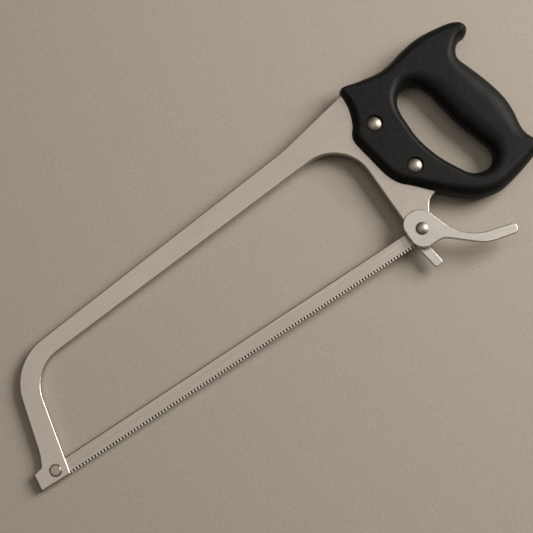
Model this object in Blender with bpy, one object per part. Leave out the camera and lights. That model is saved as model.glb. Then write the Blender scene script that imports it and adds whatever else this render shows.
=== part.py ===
"""A butcher's bow saw with a quick-release blade tensioner, lying on its side.

Sizes are in millimetres, and become metres as each object is made. The drawing frame has its
origin on the axis of the front blade post, in the saw's mid-plane: +X runs along the blade towards
the handle, +Y from the teeth towards the back of the bow, and +Z out of the near side. At the end
the whole saw is moved so that the middle of its box's base is the world origin.
"""

import math

import bmesh
import bpy
from mathutils import Matrix, Vector

MM = 0.001

# Clearances between pieces.
FIT_GAP = 0.3  # faces that meet
PIN_GAP = 0.15  # round a pin, bolt or post in its hole
RUN_GAP = 0.25  # round the cam and the bolt, which turn

# Roundness of arcs and turned pieces.
ARC_SAG = 0.12
MOST_STEP = math.radians(24)
ROUND_STEPS = 24
MITRE_LIMIT = 0.5  # least cosine used where an outline is grown round a corner
SMOOTH_ANGLE = math.radians(32)
WELD = 0.001
OVERRUN = 5.0  # how far a cutter runs past the face it opens
WELL_CLEAR = 60.0  # past the end of any slotted piece, from its own axis

# Blade.
BLADE_SPAN = 406.4  # front post to rear pin
BLADE_WIDTH = 15.8
BLADE_THICK = 0.8
BLADE_BACK = 5.8  # back edge above the post's axis
BLADE_TAIL = 2.9  # past the rear pin's axis
BLADE_NOSE = 6.5  # past the front post's axis
BLADE_CLIP = 4.0  # corners cut off the front end
TOOTH_PITCH = 3.4
TOOTH_DEPTH = 2.0
TOOTH_COUNT = 117
TOOTH_RAKE = 0.5  # tip ahead of its gullet
TOOTH_MARGIN = 4.0  # plain edge before the first tooth and after the last
BLADE_PIN_RADIUS = 1.5

# Frame: one plate that makes the toe, front arm, bar, web and rear leg.
PLATE_THICK = 8.0
PLATE_EDGE = 1.2
BOW_RISE = 110.0  # the bow's front corner above the blade post
BAR_DROP = 17.1  # inner corner below the outer one
TOE_SLOT_TOP = 12.5
PIN_TO_PIVOT = 12.4
LEG_FRONT = -9.0  # leg's front edge from the pivot
LEG_BACK = 16.2
LEG_FOOT = -13.0
FORK_TOP = 10.2  # top of the slot between the leg's two cheeks

# Tension lever, cam and hook, placed from the pivot.
LEVER_THICK = 5.0
LEVER_EDGE = 0.8
LEVER_OPEN = math.radians(120)
THRUST_THICK = 0.8
THRUST_RADIUS = 9.0
BOLT_RADIUS = 2.75
BOLT_FLAT = 2.1  # each of the shank's two flats from its axis
BOLT_HEAD_RADIUS = 6.35
BOLT_HEAD_RISE = 2.7
CAM_THROW = 1.6
CAM_ANGLE = math.radians(10)  # past the dead centre when the lever is shut
CAM_RADIUS = 5.6
HOOK_THICK = 3.5
HOOK_WALL = 3.35
CLAW_THICK = 2.2
CLAW_RISE = 2.0  # claw's top above the blade pin's axis
CLAW_FOOT = 3.6  # steel below the jaw's floor
TAB_WIDTH = 9.4
TAB_END = Vector((-4.0, -37.9))
TAB_LEAN = math.radians(8.2)
TAB_ROUND = 3.2
STOP_RADIUS = 1.25
STOP_REACH = 12.5  # stop pin's axis from the pivot
STOP_RISE = 2.9
GROOVE_DEPTH = 2.0
WASHER_THICK = 1.0
WASHER_RADIUS = 7.0
SPRING_RISE = 1.5
SPRING_WALL = 0.7
SPRING_RADIUS = 6.0
NUT_RADIUS = 5.6
NUT_HEX = 2.4
NUT_SIDES = 6
NUT_CAP_RADIUS = 4.4
NUT_CAP_RISE = 3.2  # from inside the hexagon to the cap's top

# Front blade post and its screw.
POST_RADIUS = 3.0
POST_HEAD_RADIUS = 5.6
POST_HEAD_RISE = 1.8
POST_SEAT = 1.5  # depth of the counterbore
POST_SCREW_RADIUS = 1.5
POST_SCREW_HEAD = 4.6
POST_SCREW_RISE = 1.5
POST_ROOF = 1.0  # steel between the post's blind bore and its seat
SCREW_SHORT = 1.5  # a screw's tip stops this far before its bore does

# Turned heads.
HEAD_CHAMFER = 0.6
DOME_LIP = 0.25  # share of a domed head's rise that is its straight lip
DOME_STEPS = 4

# Handle: two moulded halves that meet in the mid-plane round the frame's tang.
HANDLE_HALF = 14.0
HANDLE_DROP = 110.0  # handle's drawing origin below the bow's front corner
ROLL_STEPS = 5
CURVE_STEPS = 3
BINDER_RADIUS = 3.5
BINDER_HEAD_RADIUS = 7.1
BINDER_HEAD_RISE = 2.9
BINDER_RECESS_RADIUS = 8.25
BINDER_RECESS = 2.6
SCREW_RADIUS = 1.8
SCREW_HEAD_RADIUS = 5.8
SCREW_HEAD_RISE = 2.6
SCREW_RECESS = 3.6
SCREW_SLOT = 1.2
BARREL_SHORT = 1.0  # the post's barrel stops this far before the screw's head does
BARREL_ROOF = 1.5  # top of the barrel's bore above the mid-plane
BINDERS = {"front": Vector((21.0, 112.3)), "rear": Vector((30.0, 55.4))}

# Where the three groups of pieces stand in the drawing.
PIVOT = Vector((BLADE_SPAN + PIN_TO_PIVOT, 0.0))
CAM_CENTRE = PIVOT + CAM_THROW * Vector((math.cos(CAM_ANGLE), math.sin(CAM_ANGLE)))
HANDLE = Vector((PIVOT.x, BOW_RISE - HANDLE_DROP))
PLATE_FACE = PLATE_THICK / 2
BLADE_SLOT = BLADE_THICK / 2 + FIT_GAP
FORK_SLOT = HOOK_THICK / 2 + FIT_GAP
LEVER_BASE = PLATE_FACE + FIT_GAP + THRUST_THICK + FIT_GAP
LEVER_FACE = LEVER_BASE + LEVER_THICK
BLADE_MIDDLE = BLADE_BACK - BLADE_WIDTH / 2

# The handle's rim and hand hole from its drawing origin: x, y, and how far the roundness of the
# edge reaches in from there.
HANDLE_RIM = (
    (18, 162, 4), (12, 159, 4), (11.3, 151, 6), (9.5, 139.5, 8), (4, 125.5, 9), (-2.5, 116.5, 9),
    (-4.5, 108, 9), (-1.5, 87, 9), (2.3, 65, 9), (8.5, 51, 9), (19.5, 39.5, 9), (38, 19, 10),
    (56.3, 2.3, 11), (70, -6.3, 11), (89, -10, 11), (111, -6.3, 11), (132, -0.5, 9),
    (143.5, 3.5, 6), (148.5, 9.5, 4.5), (144, 18, 8), (142, 30, 15), (145.5, 50, 19),
    (145.8, 68, 20), (141.5, 90, 20), (135, 111, 18), (131, 124, 13.5), (134.7, 133.3, 9),
    (142, 138.7, 8), (150, 139.8, 7), (155.6, 144.2, 6), (155.8, 150, 6), (151.5, 156, 7.5),
    (139, 160.8, 9.5), (111, 164, 10), (89, 161.5, 10), (61, 155.5, 9), (36, 158.5, 8),
)
HAND_HOLE = (
    (68, 129, 12), (57, 123, 9.5), (51.3, 112, 8.5), (50, 95, 8), (50.5, 76, 8),
    (56.3, 52.5, 8), (66.3, 31.3, 8.5), (75, 19.3, 9.5), (88.5, 14.7, 10), (99.5, 20, 12),
    (103, 31, 16), (98.7, 48, 19), (92.5, 70, 20), (88.5, 94, 20), (85.7, 112, 18),
    (78.5, 125, 14),
)


# ---- outlines -------------------------------------------------------------------------------

def arc(centre, radius, start, turn):
    """Points along an arc, both ends included."""
    step = min(MOST_STEP, 2 * math.acos(1 - min(ARC_SAG / radius, 1)))
    count = max(1, math.ceil(abs(turn) / step))
    angles = [start + turn * i / count for i in range(count + 1)]
    return [centre + radius * Vector((math.cos(a), math.sin(a))) for a in angles]


def rounded(corners):
    """A closed outline: straight runs between corners of (x, y, radius), joined by arcs."""
    points = []
    for i, (x, y, radius) in enumerate(corners):
        corner = Vector((x, y))
        back = Vector(corners[i - 1][:2]) - corner
        ahead = Vector(corners[(i + 1) % len(corners)][:2]) - corner
        turn = math.pi - back.angle(ahead)
        reach = min(radius * math.tan(turn / 2), back.length / 2, ahead.length / 2)
        if reach < ARC_SAG:
            points.append(corner)
            continue
        radius = reach / math.tan(turn / 2)
        start = corner + reach * back.normalized()
        middle = (back.normalized() + ahead.normalized()).normalized()
        centre = corner + middle * (radius / math.cos(turn / 2))
        from_centre = start - centre
        side = 1 if back.cross(ahead) < 0 else -1
        points += arc(centre, radius, math.atan2(from_centre.y, from_centre.x), side * turn)
    return points


def shifted(corners, origin):
    """Corners moved from a group's own origin into the drawing."""
    return [(x + origin.x, y + origin.y, size) for x, y, size in corners]


def circle(centre, radius, steps=ROUND_STEPS):
    """A closed round outline."""
    turns = [2 * math.pi * i / steps for i in range(steps)]
    return [centre + radius * Vector((math.cos(a), math.sin(a))) for a in turns]


def flatted(radius, flat):
    """A round shank's outline with two flats, about the origin."""
    half = math.acos(flat / radius)
    top = arc(Vector((0, 0)), radius, half, math.pi - 2 * half)
    return top + [-point for point in top]


def signed_area(points):
    """Twice an outline's area, positive when it runs anticlockwise."""
    return sum(a.cross(b) for a, b in zip(points, points[1:] + points[:1]))


def grown(points, distance):
    """An outline moved outwards all round."""
    side = distance if signed_area(points) > 0 else -distance
    moved = []
    for i, point in enumerate(points):
        back = (point - points[i - 1]).normalized()
        ahead = (points[(i + 1) % len(points)] - point).normalized()
        along = (back + ahead).normalized()
        reach = side / max(along.dot(ahead), MITRE_LIMIT)
        moved.append(point + reach * Vector((along.y, -along.x)))
    return moved


def smooth_loop(controls, steps):
    """A closed curve through (x, y, roll) control points, with steps points a span."""
    knots = [Vector(control) for control in controls]
    count = len(knots)
    points = []
    for i in range(count):
        a, b, c, d = (knots[(i + k) % count] for k in (-1, 0, 1, 2))
        for k in range(steps):
            t = k / steps
            points.append(
                0.5 * (2 * b + (c - a) * t + (2 * a - 5 * b + 4 * c - d) * t**2
                       + (3 * b - a - 3 * c + d) * t**3)
            )
    return points


def frame_outline():
    """The toe, front arm, bar, web, tang and leg as one closed outline."""
    toe = [(-21.2, -9.6, 1.8), (-19.2, 8.0, 2), (-9.8, 9.8, 1.5), (-4.6, 21.6, 25)]
    bow = [(17.5, BOW_RISE, 53)]
    web = [(-69, 141, 150), (12, 157.2, 3), (27, 155.5, 8), (42.5, 138, 14), (42, 74, 50),
           (49, 48, 8), (45, 34, 8), (36.5, 24.6, 0), (24.5, 21.6, 22)]
    leg = [(LEG_BACK, 9.5, 5), (LEG_BACK, LEG_FOOT, 13), (LEG_FRONT, LEG_FOOT, 13)]
    throat = [(LEG_FRONT, 120.6, 40)]
    arm = [(32, BOW_RISE - BAR_DROP, 40), (10.3, -10.2, 1.6)]
    return rounded(toe + bow + shifted(web, HANDLE) + shifted(leg, PIVOT)
                   + shifted(throat, HANDLE) + arm)


def lever_outline():
    """The lever's round hub and the curved arm that a finger pulls."""
    hub = [(-15.4, -18.6, 18.3), (-15.4, 19.6, 18.5), (12.4, 19.6, 17)]
    arm = [(28.4, -30.9, 54), (79.3, -44.9, 4.5), (77, -54.8, 5), (44.5, -46.8, 40),
           (12.7, -18.6, 14)]
    return rounded(hub + arm)


def hook_outline():
    """The ring round the cam, the jaw that takes the blade's pin, and the finger tab."""
    ring = CAM_RADIUS + RUN_GAP + HOOK_WALL
    cam = CAM_CENTRE - PIVOT
    pin = Vector((-PIN_TO_PIVOT, BLADE_MIDDLE))
    claw_back = pin.x - BLADE_PIN_RADIUS - FIT_GAP
    claw_front = claw_back - CLAW_THICK
    jaw_back = pin.x + BLADE_PIN_RADIUS + hook_travel().x + FIT_GAP
    floor = pin.y - BLADE_PIN_RADIUS - FIT_GAP
    foot = floor - CLAW_FOOT
    down = Vector((math.sin(TAB_LEAN), -math.cos(TAB_LEAN)))
    across = Vector((-down.y, down.x)) * TAB_WIDTH / 2
    right, left = TAB_END + across, TAB_END - across
    slope = down.x / down.y
    ring_foot = cam.y - ring
    return rounded([
        (claw_front, pin.y + CLAW_RISE, 0.8), (claw_back, pin.y + CLAW_RISE, 0.5),
        (claw_back, floor, 0.6), (jaw_back, floor, 1), (jaw_back, cam.y + ring, ring),
        (cam.x + ring, cam.y + ring, ring), (cam.x + ring, ring_foot, ring),
        (right.x + slope * (ring_foot - right.y), ring_foot, 2), (right.x, right.y, TAB_ROUND),
        (left.x, left.y, TAB_ROUND), (left.x + slope * (foot - left.y), foot, 2),
        (claw_front, foot, 2),
    ])


def blade_outline():
    """The blade with its clipped front end and a row of forward-raked teeth."""
    tip = BLADE_BACK - BLADE_WIDTH
    end = BLADE_SPAN + BLADE_TAIL
    first = end - TOOTH_MARGIN - TOOTH_COUNT * TOOTH_PITCH
    teeth = [(first - TOOTH_PITCH / 2, tip)]
    for i in range(TOOTH_COUNT):
        gullet = first + i * TOOTH_PITCH
        teeth += [(gullet, tip + TOOTH_DEPTH), (gullet + TOOTH_RAKE, tip)]
    start = -BLADE_NOSE
    nose = [(start, BLADE_BACK - BLADE_CLIP), (start, tip + BLADE_CLIP), (start + BLADE_CLIP, tip)]
    back = [(end, tip), (end, BLADE_BACK), (start + BLADE_CLIP, BLADE_BACK)]
    return [Vector(point) for point in nose + teeth + back]


def groove_outline():
    """The arc in the lever's underside that the stop pin travels along."""
    half = STOP_RADIUS + FIT_GAP
    start, turn = math.pi / 2, LEVER_OPEN
    ends = [STOP_REACH * Vector((math.cos(a), math.sin(a))) for a in (start, start + turn)]
    middle = Vector((0, 0))
    return (arc(middle, STOP_REACH + half, start, turn)[:-1]
            + arc(ends[1], half, start + turn, math.pi)[:-1]
            + arc(middle, STOP_REACH - half, start + turn, -turn)[:-1]
            + arc(ends[0], half, start + math.pi, math.pi)[:-1])


def hook_travel():
    """How far the hook moves forwards and down as the lever opens."""
    opened = CAM_ANGLE - LEVER_OPEN
    return CAM_THROW * Vector((math.cos(CAM_ANGLE) - math.cos(opened),
                               math.sin(CAM_ANGLE) - math.sin(opened)))


# ---- solids ---------------------------------------------------------------------------------

def plate(outline, low, high, edge=0.0):
    """A flat plate between two heights, with its edges rounded where edge is given."""
    mesh = bmesh.new()
    face = mesh.faces.new([mesh.verts.new((x, y, low)) for x, y in outline])
    top = bmesh.ops.extrude_face_region(mesh, geom=[face])["geom"]
    raised = [item for item in top if isinstance(item, bmesh.types.BMVert)]
    bmesh.ops.translate(mesh, verts=raised, vec=(0, 0, high - low))
    bmesh.ops.recalc_face_normals(mesh, faces=mesh.faces)
    if edge:
        rims = [e for e in mesh.edges if e.verts[0].co.z == e.verts[1].co.z]
        bmesh.ops.bevel(mesh, geom=rims, offset=edge, affect="EDGES", segments=2, profile=0.5,
                        material=-1)
    return mesh


def turned(profile):
    """A body of revolution about Z. A profile of (radius, height) that leaves the axis is a ring."""
    mesh = bmesh.new()
    points = [mesh.verts.new((radius, 0, height)) for radius, height in profile]
    pairs = list(zip(points, points[1:]))
    if profile[0][0] > 0:
        pairs.append((points[-1], points[0]))
    edges = [mesh.edges.new(pair) for pair in pairs]
    bmesh.ops.spin(mesh, geom=points + edges, cent=(0, 0, 0), axis=(0, 0, 1),
                   angle=2 * math.pi, steps=ROUND_STEPS, use_merge=True)
    bmesh.ops.remove_doubles(mesh, verts=mesh.verts, dist=WELD)
    bmesh.ops.recalc_face_normals(mesh, faces=mesh.faces)
    return mesh


def dome(radius, low, rise):
    """The outer half of a domed head's profile, from its rim to the top of the axis."""
    lip = rise * DOME_LIP
    ball = (radius**2 + (rise - lip) ** 2) / (2 * (rise - lip))
    spread = math.asin(radius / ball)
    angles = [spread * (1 - i / DOME_STEPS) for i in range(DOME_STEPS)]
    crown = [(ball * math.sin(a), low + rise - ball * (1 - math.cos(a))) for a in angles]
    return [(radius, low)] + crown + [(0, low + rise)]


def rolled_rings(controls, inward, side):
    """Rings of points from the mid-plane up a rounded edge to the handle's flat face."""
    seam = FIT_GAP / 2
    loop = smooth_loop(shifted(controls, HANDLE), CURVE_STEPS)
    flat = [Vector((point.x, point.y)) for point in loop]
    facing = inward * math.copysign(1, signed_area(flat))
    rings = []
    for step in range(ROLL_STEPS + 1):
        turn = math.pi / 2 * step / ROLL_STEPS
        height = side * (seam + (HANDLE_HALF - seam) * math.sin(turn))
        ring = []
        for i, point in enumerate(flat):
            along = (flat[(i + 1) % len(flat)] - flat[i - 1]).normalized()
            inset = loop[i].z * (1 - math.cos(turn)) * facing
            ring.append((*(point + inset * Vector((-along.y, along.x))), height))
        rings.append(ring)
    return rings


def rolled_half(side):
    """One half of the handle, from the mid-plane out to its flat face."""
    mesh = bmesh.new()
    base, crown = [], []
    for controls, inward in ((HANDLE_RIM, 1), (HAND_HOLE, -1)):
        rings = [[mesh.verts.new(point) for point in ring]
                 for ring in rolled_rings(controls, inward, side)]
        for lower, upper in zip(rings, rings[1:]):
            for i in range(len(lower)):
                mesh.faces.new((lower[i - 1], lower[i], upper[i], upper[i - 1]))
        base += [mesh.edges.get((a, b)) for a, b in zip(rings[0], rings[0][1:] + rings[0][:1])]
        crown += [mesh.edges.get((a, b)) for a, b in zip(rings[-1], rings[-1][1:] + rings[-1][:1])]
    for edges in (base, crown):
        bmesh.ops.triangle_fill(mesh, use_beauty=True, edges=edges)
    bmesh.ops.recalc_face_normals(mesh, faces=mesh.faces)
    return mesh


# ---- objects --------------------------------------------------------------------------------

def material(name, colour, roughness, metallic):
    """A plain finish of one colour."""
    made = bpy.data.materials.new(name)
    made.use_nodes = True
    shader = made.node_tree.nodes["Principled BSDF"]
    shader.inputs["Base Color"].default_value = (*colour, 1)
    shader.inputs["Roughness"].default_value = roughness
    shader.inputs["Metallic"].default_value = metallic
    made.diffuse_color = (*colour, 1)
    return made


def empty(name, place, parent):
    """An empty on a joint's axis, that the pieces which turn there are parented to."""
    made = bpy.data.objects.new(name, None)
    bpy.context.scene.collection.objects.link(made)
    made.parent = parent
    made.location = Vector((place.x, place.y, 0)) * MM
    return made


def piece(name, mesh, finish, parent, cutters=(), joined=()):
    """An object of a finished mesh, with its joins and cuts left as Boolean modifiers."""
    mesh.transform(Matrix.Scale(MM, 4))
    data = bpy.data.meshes.new(name)
    mesh.to_mesh(data)
    mesh.free()
    data.shade_smooth()
    data.set_sharp_from_angle(angle=SMOOTH_ANGLE)
    made = bpy.data.objects.new(name, data)
    bpy.context.scene.collection.objects.link(made)
    made.parent = parent
    if finish:
        data.materials.append(finish)
    for operation, others in (("UNION", joined), ("DIFFERENCE", cutters)):
        for other in others:
            change = made.modifiers.new(other.name, "BOOLEAN")
            change.operation = operation
            change.solver = "EXACT"
            change.object = other
    return made


def cutter(name, mesh, parent):
    """A hidden object that is only there to be cut away from others."""
    made = piece(name, mesh, None, parent)
    made.hide_render = True
    made.display_type = "WIRE"
    return made


def placed(mesh, place):
    """A mesh moved from its own axis to a place in the drawing."""
    bmesh.ops.translate(mesh, verts=mesh.verts, vec=(place.x, place.y, 0))
    return mesh


def slab(low, high):
    """A square-cornered block between two corners, for cutting slots."""
    corners = [(low[0], low[1]), (high[0], low[1]), (high[0], high[1]), (low[0], high[1])]
    return plate([Vector(corner) for corner in corners], low[2], high[2])


def build_frame(root, steel, binder_bores):
    """The bow plate with the fork and blade slots, and every bore in it."""
    edge = PLATE_FACE + OVERRUN
    leg = PIVOT.x + LEG_FRONT - OVERRUN, PIVOT.x + LEG_BACK + OVERRUN
    fork = slab((leg[0], LEG_FOOT - OVERRUN, -FORK_SLOT), (leg[1], FORK_TOP, FORK_SLOT))
    kerf = slab((-WELL_CLEAR, -WELL_CLEAR, -BLADE_SLOT), (WELL_CLEAR, TOE_SLOT_TOP, BLADE_SLOT))
    bolt_bore = placed(plate(circle(Vector((0, 0)), BOLT_RADIUS + RUN_GAP), -edge, edge), PIVOT)
    stop_place = PIVOT + Vector((0, STOP_REACH))
    stop_bore = placed(plate(circle(Vector((0, 0)), STOP_RADIUS + PIN_GAP), 0, edge), stop_place)
    seat, bore = PLATE_FACE - POST_SEAT, POST_RADIUS + PIN_GAP
    near, far = POST_HEAD_RADIUS + FIT_GAP, POST_SCREW_HEAD + FIT_GAP
    post_bore = turned([(0, -edge), (far, -edge), (far, -seat), (bore, -seat), (bore, seat),
                        (near, seat), (near, edge), (0, edge)])
    cuts = [
        cutter("fork_cutter", fork, root), cutter("kerf_cutter", kerf, root),
        cutter("bolt_bore_cutter", bolt_bore, root), cutter("stop_bore_cutter", stop_bore, root),
        cutter("post_bore_cutter", post_bore, root), *binder_bores,
    ]
    outline = frame_outline()
    piece("frame", plate(outline, -PLATE_FACE, PLATE_FACE, PLATE_EDGE), steel, root, cuts)
    return cutter("tang_cutter", plate(grown(outline, FIT_GAP), -PLATE_FACE - FIT_GAP,
                                       PLATE_FACE + FIT_GAP), root)


def binder_bore(name, place, root):
    """The stepped hole for one handle fastening, through both halves and the tang."""
    edge = HANDLE_HALF + OVERRUN
    near, far = HANDLE_HALF - BINDER_RECESS, HANDLE_HALF - SCREW_RECESS
    bore, wide = BINDER_RADIUS + FIT_GAP, SCREW_HEAD_RADIUS + 2 * FIT_GAP
    hole = turned([(0, -edge), (wide, -edge), (wide, -far), (bore, -far), (bore, near),
                   (BINDER_RECESS_RADIUS, near), (BINDER_RECESS_RADIUS, edge), (0, edge)])
    return cutter(name, placed(hole, place), root)


def build_binder(which, place, root, polished):
    """A domed binding post from the near side, and the screw that meets it from the far side."""
    seat = HANDLE_HALF - BINDER_RECESS + FIT_GAP
    under = -(HANDLE_HALF - SCREW_RECESS + FIT_GAP)
    foot, bore = under + BARREL_SHORT, SCREW_RADIUS + PIN_GAP
    head = dome(BINDER_HEAD_RADIUS, seat, BINDER_HEAD_RISE)
    post = turned([(0, BARREL_ROOF), (bore, BARREL_ROOF), (bore, foot), (BINDER_RADIUS, foot),
                   (BINDER_RADIUS, seat)] + head)
    piece(f"handle_post_{which}", placed(post, place), polished, root)
    rim = under - SCREW_HEAD_RISE
    across, tip = SCREW_HEAD_RADIUS + OVERRUN, BARREL_ROOF - SCREW_SHORT
    slot = slab((-across, -SCREW_SLOT / 2, rim - OVERRUN),
                (across, SCREW_SLOT / 2, rim + SCREW_SLOT))
    screw = turned([(0, rim), (SCREW_HEAD_RADIUS - HEAD_CHAMFER, rim),
                    (SCREW_HEAD_RADIUS, rim + HEAD_CHAMFER), (SCREW_HEAD_RADIUS, under),
                    (SCREW_RADIUS, under), (SCREW_RADIUS, tip), (0, tip)])
    cuts = [cutter(f"screw_slot_cutter_{which}", placed(slot, place), root)]
    piece(f"handle_screw_{which}", placed(screw, place), polished, root, cuts)


def build_handle(root, plastic, polished, tang, bores):
    """Two moulded halves round the tang, and the two fastenings through them."""
    piece("handle_near_half", rolled_half(1), plastic, root, [tang, *bores])
    piece("handle_far_half", rolled_half(-1), plastic, root, [tang, *bores])
    for which, place in BINDERS.items():
        build_binder(which, HANDLE + place, root, polished)


def build_lever(pivot, steel, polished):
    """The lever, its bolt, the cam that they turn, and what holds them on the far side."""
    beyond = LEVER_FACE + OVERRUN
    bore = plate(flatted(BOLT_RADIUS + PIN_GAP, BOLT_FLAT + PIN_GAP), -beyond, beyond)
    groove = plate(groove_outline(), LEVER_BASE - OVERRUN, LEVER_BASE + GROOVE_DEPTH)
    bolt_cut = cutter("bolt_cutter", bore, pivot)
    piece("tension_lever", plate(lever_outline(), LEVER_BASE, LEVER_FACE, LEVER_EDGE), steel,
          pivot, [bolt_cut, cutter("groove_cutter", groove, pivot)])
    washer = PLATE_FACE + FIT_GAP
    hole = BOLT_RADIUS + PIN_GAP
    piece("thrust_washer", turned([(hole, washer), (THRUST_RADIUS, washer),
                                   (THRUST_RADIUS, washer + THRUST_THICK),
                                   (hole, washer + THRUST_THICK)]), steel, pivot)
    cam_offset = CAM_CENTRE - PIVOT
    half = HOOK_THICK / 2
    cam = plate(circle(cam_offset, CAM_RADIUS), -half, half)
    piece("tension_cam", cam, steel, pivot, [bolt_cut])
    stack = -washer
    piece("pivot_washer", turned([(hole, stack), (WASHER_RADIUS, stack),
                                  (WASHER_RADIUS, stack - WASHER_THICK),
                                  (hole, stack - WASHER_THICK)]), steel, pivot)
    stack -= WASHER_THICK + FIT_GAP
    inner = hole + FIT_GAP
    piece("spring_washer", turned([(inner, stack), (inner, stack - SPRING_WALL),
                                   (SPRING_RADIUS, stack - SPRING_RISE),
                                   (SPRING_RADIUS, stack - SPRING_RISE + SPRING_WALL)]),
          steel, pivot)
    stack -= SPRING_RISE + FIT_GAP
    build_nut_and_bolt(pivot, polished, stack)


def build_nut_and_bolt(pivot, polished, stack):
    """The domed bolt with its two flats, and the cap nut whose face is at the given height."""
    tip, under = stack - NUT_HEX, LEVER_FACE + FIT_GAP
    bolt = turned([(0, tip), (BOLT_RADIUS, tip), (BOLT_RADIUS, under)]
                  + dome(BOLT_HEAD_RADIUS, under, BOLT_HEAD_RISE))
    wide = BOLT_RADIUS + OVERRUN
    flats = [
        cutter(f"{side}_flat_cutter", slab((low, -wide, tip - OVERRUN), (high, wide, under)), pivot)
        for side, low, high in (("front", -wide, -BOLT_FLAT), ("back", BOLT_FLAT, wide))
    ]
    piece("pivot_bolt", bolt, polished, pivot, flats)
    middle = Vector((0, 0))
    hexagon = plate(circle(middle, NUT_RADIUS, NUT_SIDES), stack - NUT_HEX, stack)
    cap_base = stack - NUT_HEX / 2
    cap = turned([(0, cap_base)] + dome(NUT_CAP_RADIUS, cap_base, -NUT_CAP_RISE))
    bore = plate(circle(middle, BOLT_RADIUS + PIN_GAP), tip - PIN_GAP, stack + OVERRUN)
    piece("pivot_nut", hexagon, polished, pivot, [cutter("nut_bore_cutter", bore, pivot)],
          [cutter("nut_cap", cap, pivot)])


def build_hook(hook_axis, steel):
    """The hook that the cam pulls, slotted along its front edge for the blade."""
    half = HOOK_THICK / 2
    cam = CAM_CENTRE - PIVOT
    mesh = plate(hook_outline(), -half, half)
    kerf_back = BLADE_TAIL - PIN_TO_PIVOT + hook_travel().x + FIT_GAP
    kerf = slab((-WELL_CLEAR, -WELL_CLEAR, -BLADE_SLOT), (kerf_back, WELL_CLEAR, BLADE_SLOT))
    bore = plate(circle(cam, CAM_RADIUS + RUN_GAP), -half - OVERRUN, half + OVERRUN)
    for mesh_of_piece in (mesh, kerf, bore):
        placed(mesh_of_piece, -cam)
    piece("blade_hook", mesh, steel, hook_axis,
          [cutter("hook_kerf_cutter", kerf, hook_axis), cutter("hook_bore_cutter", bore, hook_axis)])


def build_blade(blade_axis, steel, polished):
    """The toothed blade and the pin riveted through its rear end."""
    half = BLADE_THICK / 2
    pin_place = Vector((BLADE_SPAN, BLADE_MIDDLE))
    origin = Vector((0, 0))
    cuts = []
    for name, place, radius in (("post", origin, POST_RADIUS + PIN_GAP),
                                ("pin", pin_place, BLADE_PIN_RADIUS + PIN_GAP)):
        hole = plate(circle(place, radius), -half - OVERRUN, half + OVERRUN)
        cuts.append(cutter(f"blade_{name}_hole_cutter", hole, blade_axis))
    piece("saw_blade", plate(blade_outline(), -half, half), steel, blade_axis, cuts)
    reach = HOOK_THICK / 2
    piece("blade_pin", plate(circle(pin_place, BLADE_PIN_RADIUS), -reach, reach), polished,
          blade_axis)


def build_blade_post(root, polished):
    """The post that the blade's front end hangs on, and the screw that closes it."""
    seat = PLATE_FACE - POST_SEAT + FIT_GAP
    top, bore, blind = seat + POST_HEAD_RISE, POST_SCREW_RADIUS + PIN_GAP, seat - POST_ROOF
    post = turned([(0, blind), (bore, blind), (bore, -seat), (POST_RADIUS, -seat),
                   (POST_RADIUS, seat), (POST_HEAD_RADIUS, seat),
                   (POST_HEAD_RADIUS, top - HEAD_CHAMFER), (POST_HEAD_RADIUS - HEAD_CHAMFER, top),
                   (0, top)])
    piece("blade_post", post, polished, root)
    under = -(seat + FIT_GAP)
    rim, tip = under - POST_SCREW_RISE, blind - SCREW_SHORT
    screw = turned([(0, rim), (POST_SCREW_HEAD - HEAD_CHAMFER, rim),
                    (POST_SCREW_HEAD, rim + HEAD_CHAMFER), (POST_SCREW_HEAD, under),
                    (POST_SCREW_RADIUS, under), (POST_SCREW_RADIUS, tip), (0, tip)])
    piece("blade_post_screw", screw, polished, root)


def build_stop_pin(root, polished):
    """The pin in the web that stops the lever at each end of its groove."""
    top = PLATE_FACE + STOP_RISE
    pin = turned([(0, FIT_GAP), (STOP_RADIUS, FIT_GAP), (STOP_RADIUS, top), (0, top)])
    piece("lever_stop_pin", placed(pin, PIVOT + Vector((0, STOP_REACH))), polished, root)


def stand_on_floor(root):
    """Moves the saw so that the middle of its box's base is the world origin."""
    bpy.context.view_layer.update()
    corners = [made.matrix_world @ Vector(corner) for made in bpy.data.objects
               if made.type == "MESH" and not made.hide_render for corner in made.bound_box]
    low = Vector([min(corner[k] for corner in corners) for k in range(3)])
    high = Vector([max(corner[k] for corner in corners) for k in range(3)])
    root.location = Vector((-(low.x + high.x) / 2, -(low.y + high.y) / 2, -low.z))


def main():
    """Clears the scene, builds the saw, and stands it on the world's floor."""
    for old in list(bpy.data.objects):
        bpy.data.objects.remove(old)
    steel = material("satin_stainless", (0.42, 0.39, 0.36), 0.35, 1.0)
    polished = material("polished_stainless", (0.55, 0.52, 0.48), 0.18, 1.0)
    plastic = material("black_polypropylene", (0.014, 0.014, 0.014), 0.5, 0.0)
    root = empty("saw", Vector((0, 0)), None)
    pivot = empty("lever_pivot", PIVOT, root)
    hook_axis = empty("hook_axis", CAM_CENTRE - PIVOT, pivot)
    blade_axis = empty("blade_axis", Vector((0, 0)), root)

    bores = [binder_bore(f"binder_bore_{which}", HANDLE + place, root)
             for which, place in BINDERS.items()]
    tang = build_frame(root, steel, bores)
    build_handle(root, plastic, polished, tang, bores)
    build_lever(pivot, steel, polished)
    build_hook(hook_axis, steel)
    build_blade(blade_axis, steel, polished)
    build_blade_post(root, polished)
    build_stop_pin(root, polished)
    stand_on_floor(root)


main()
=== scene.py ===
"""The looks of a butcher's bow saw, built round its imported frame.

Lengths are millimetres in the saw's drawing frame, until a finished mesh is moved to the frame's
metres. The drawing's origin is on the axis of the front blade post, in the saw's mid-plane: +X runs
along the blade towards the handle, +Y from the teeth towards the back of the bow, and +Z out of the
near side, which carries the lever.
"""

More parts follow.
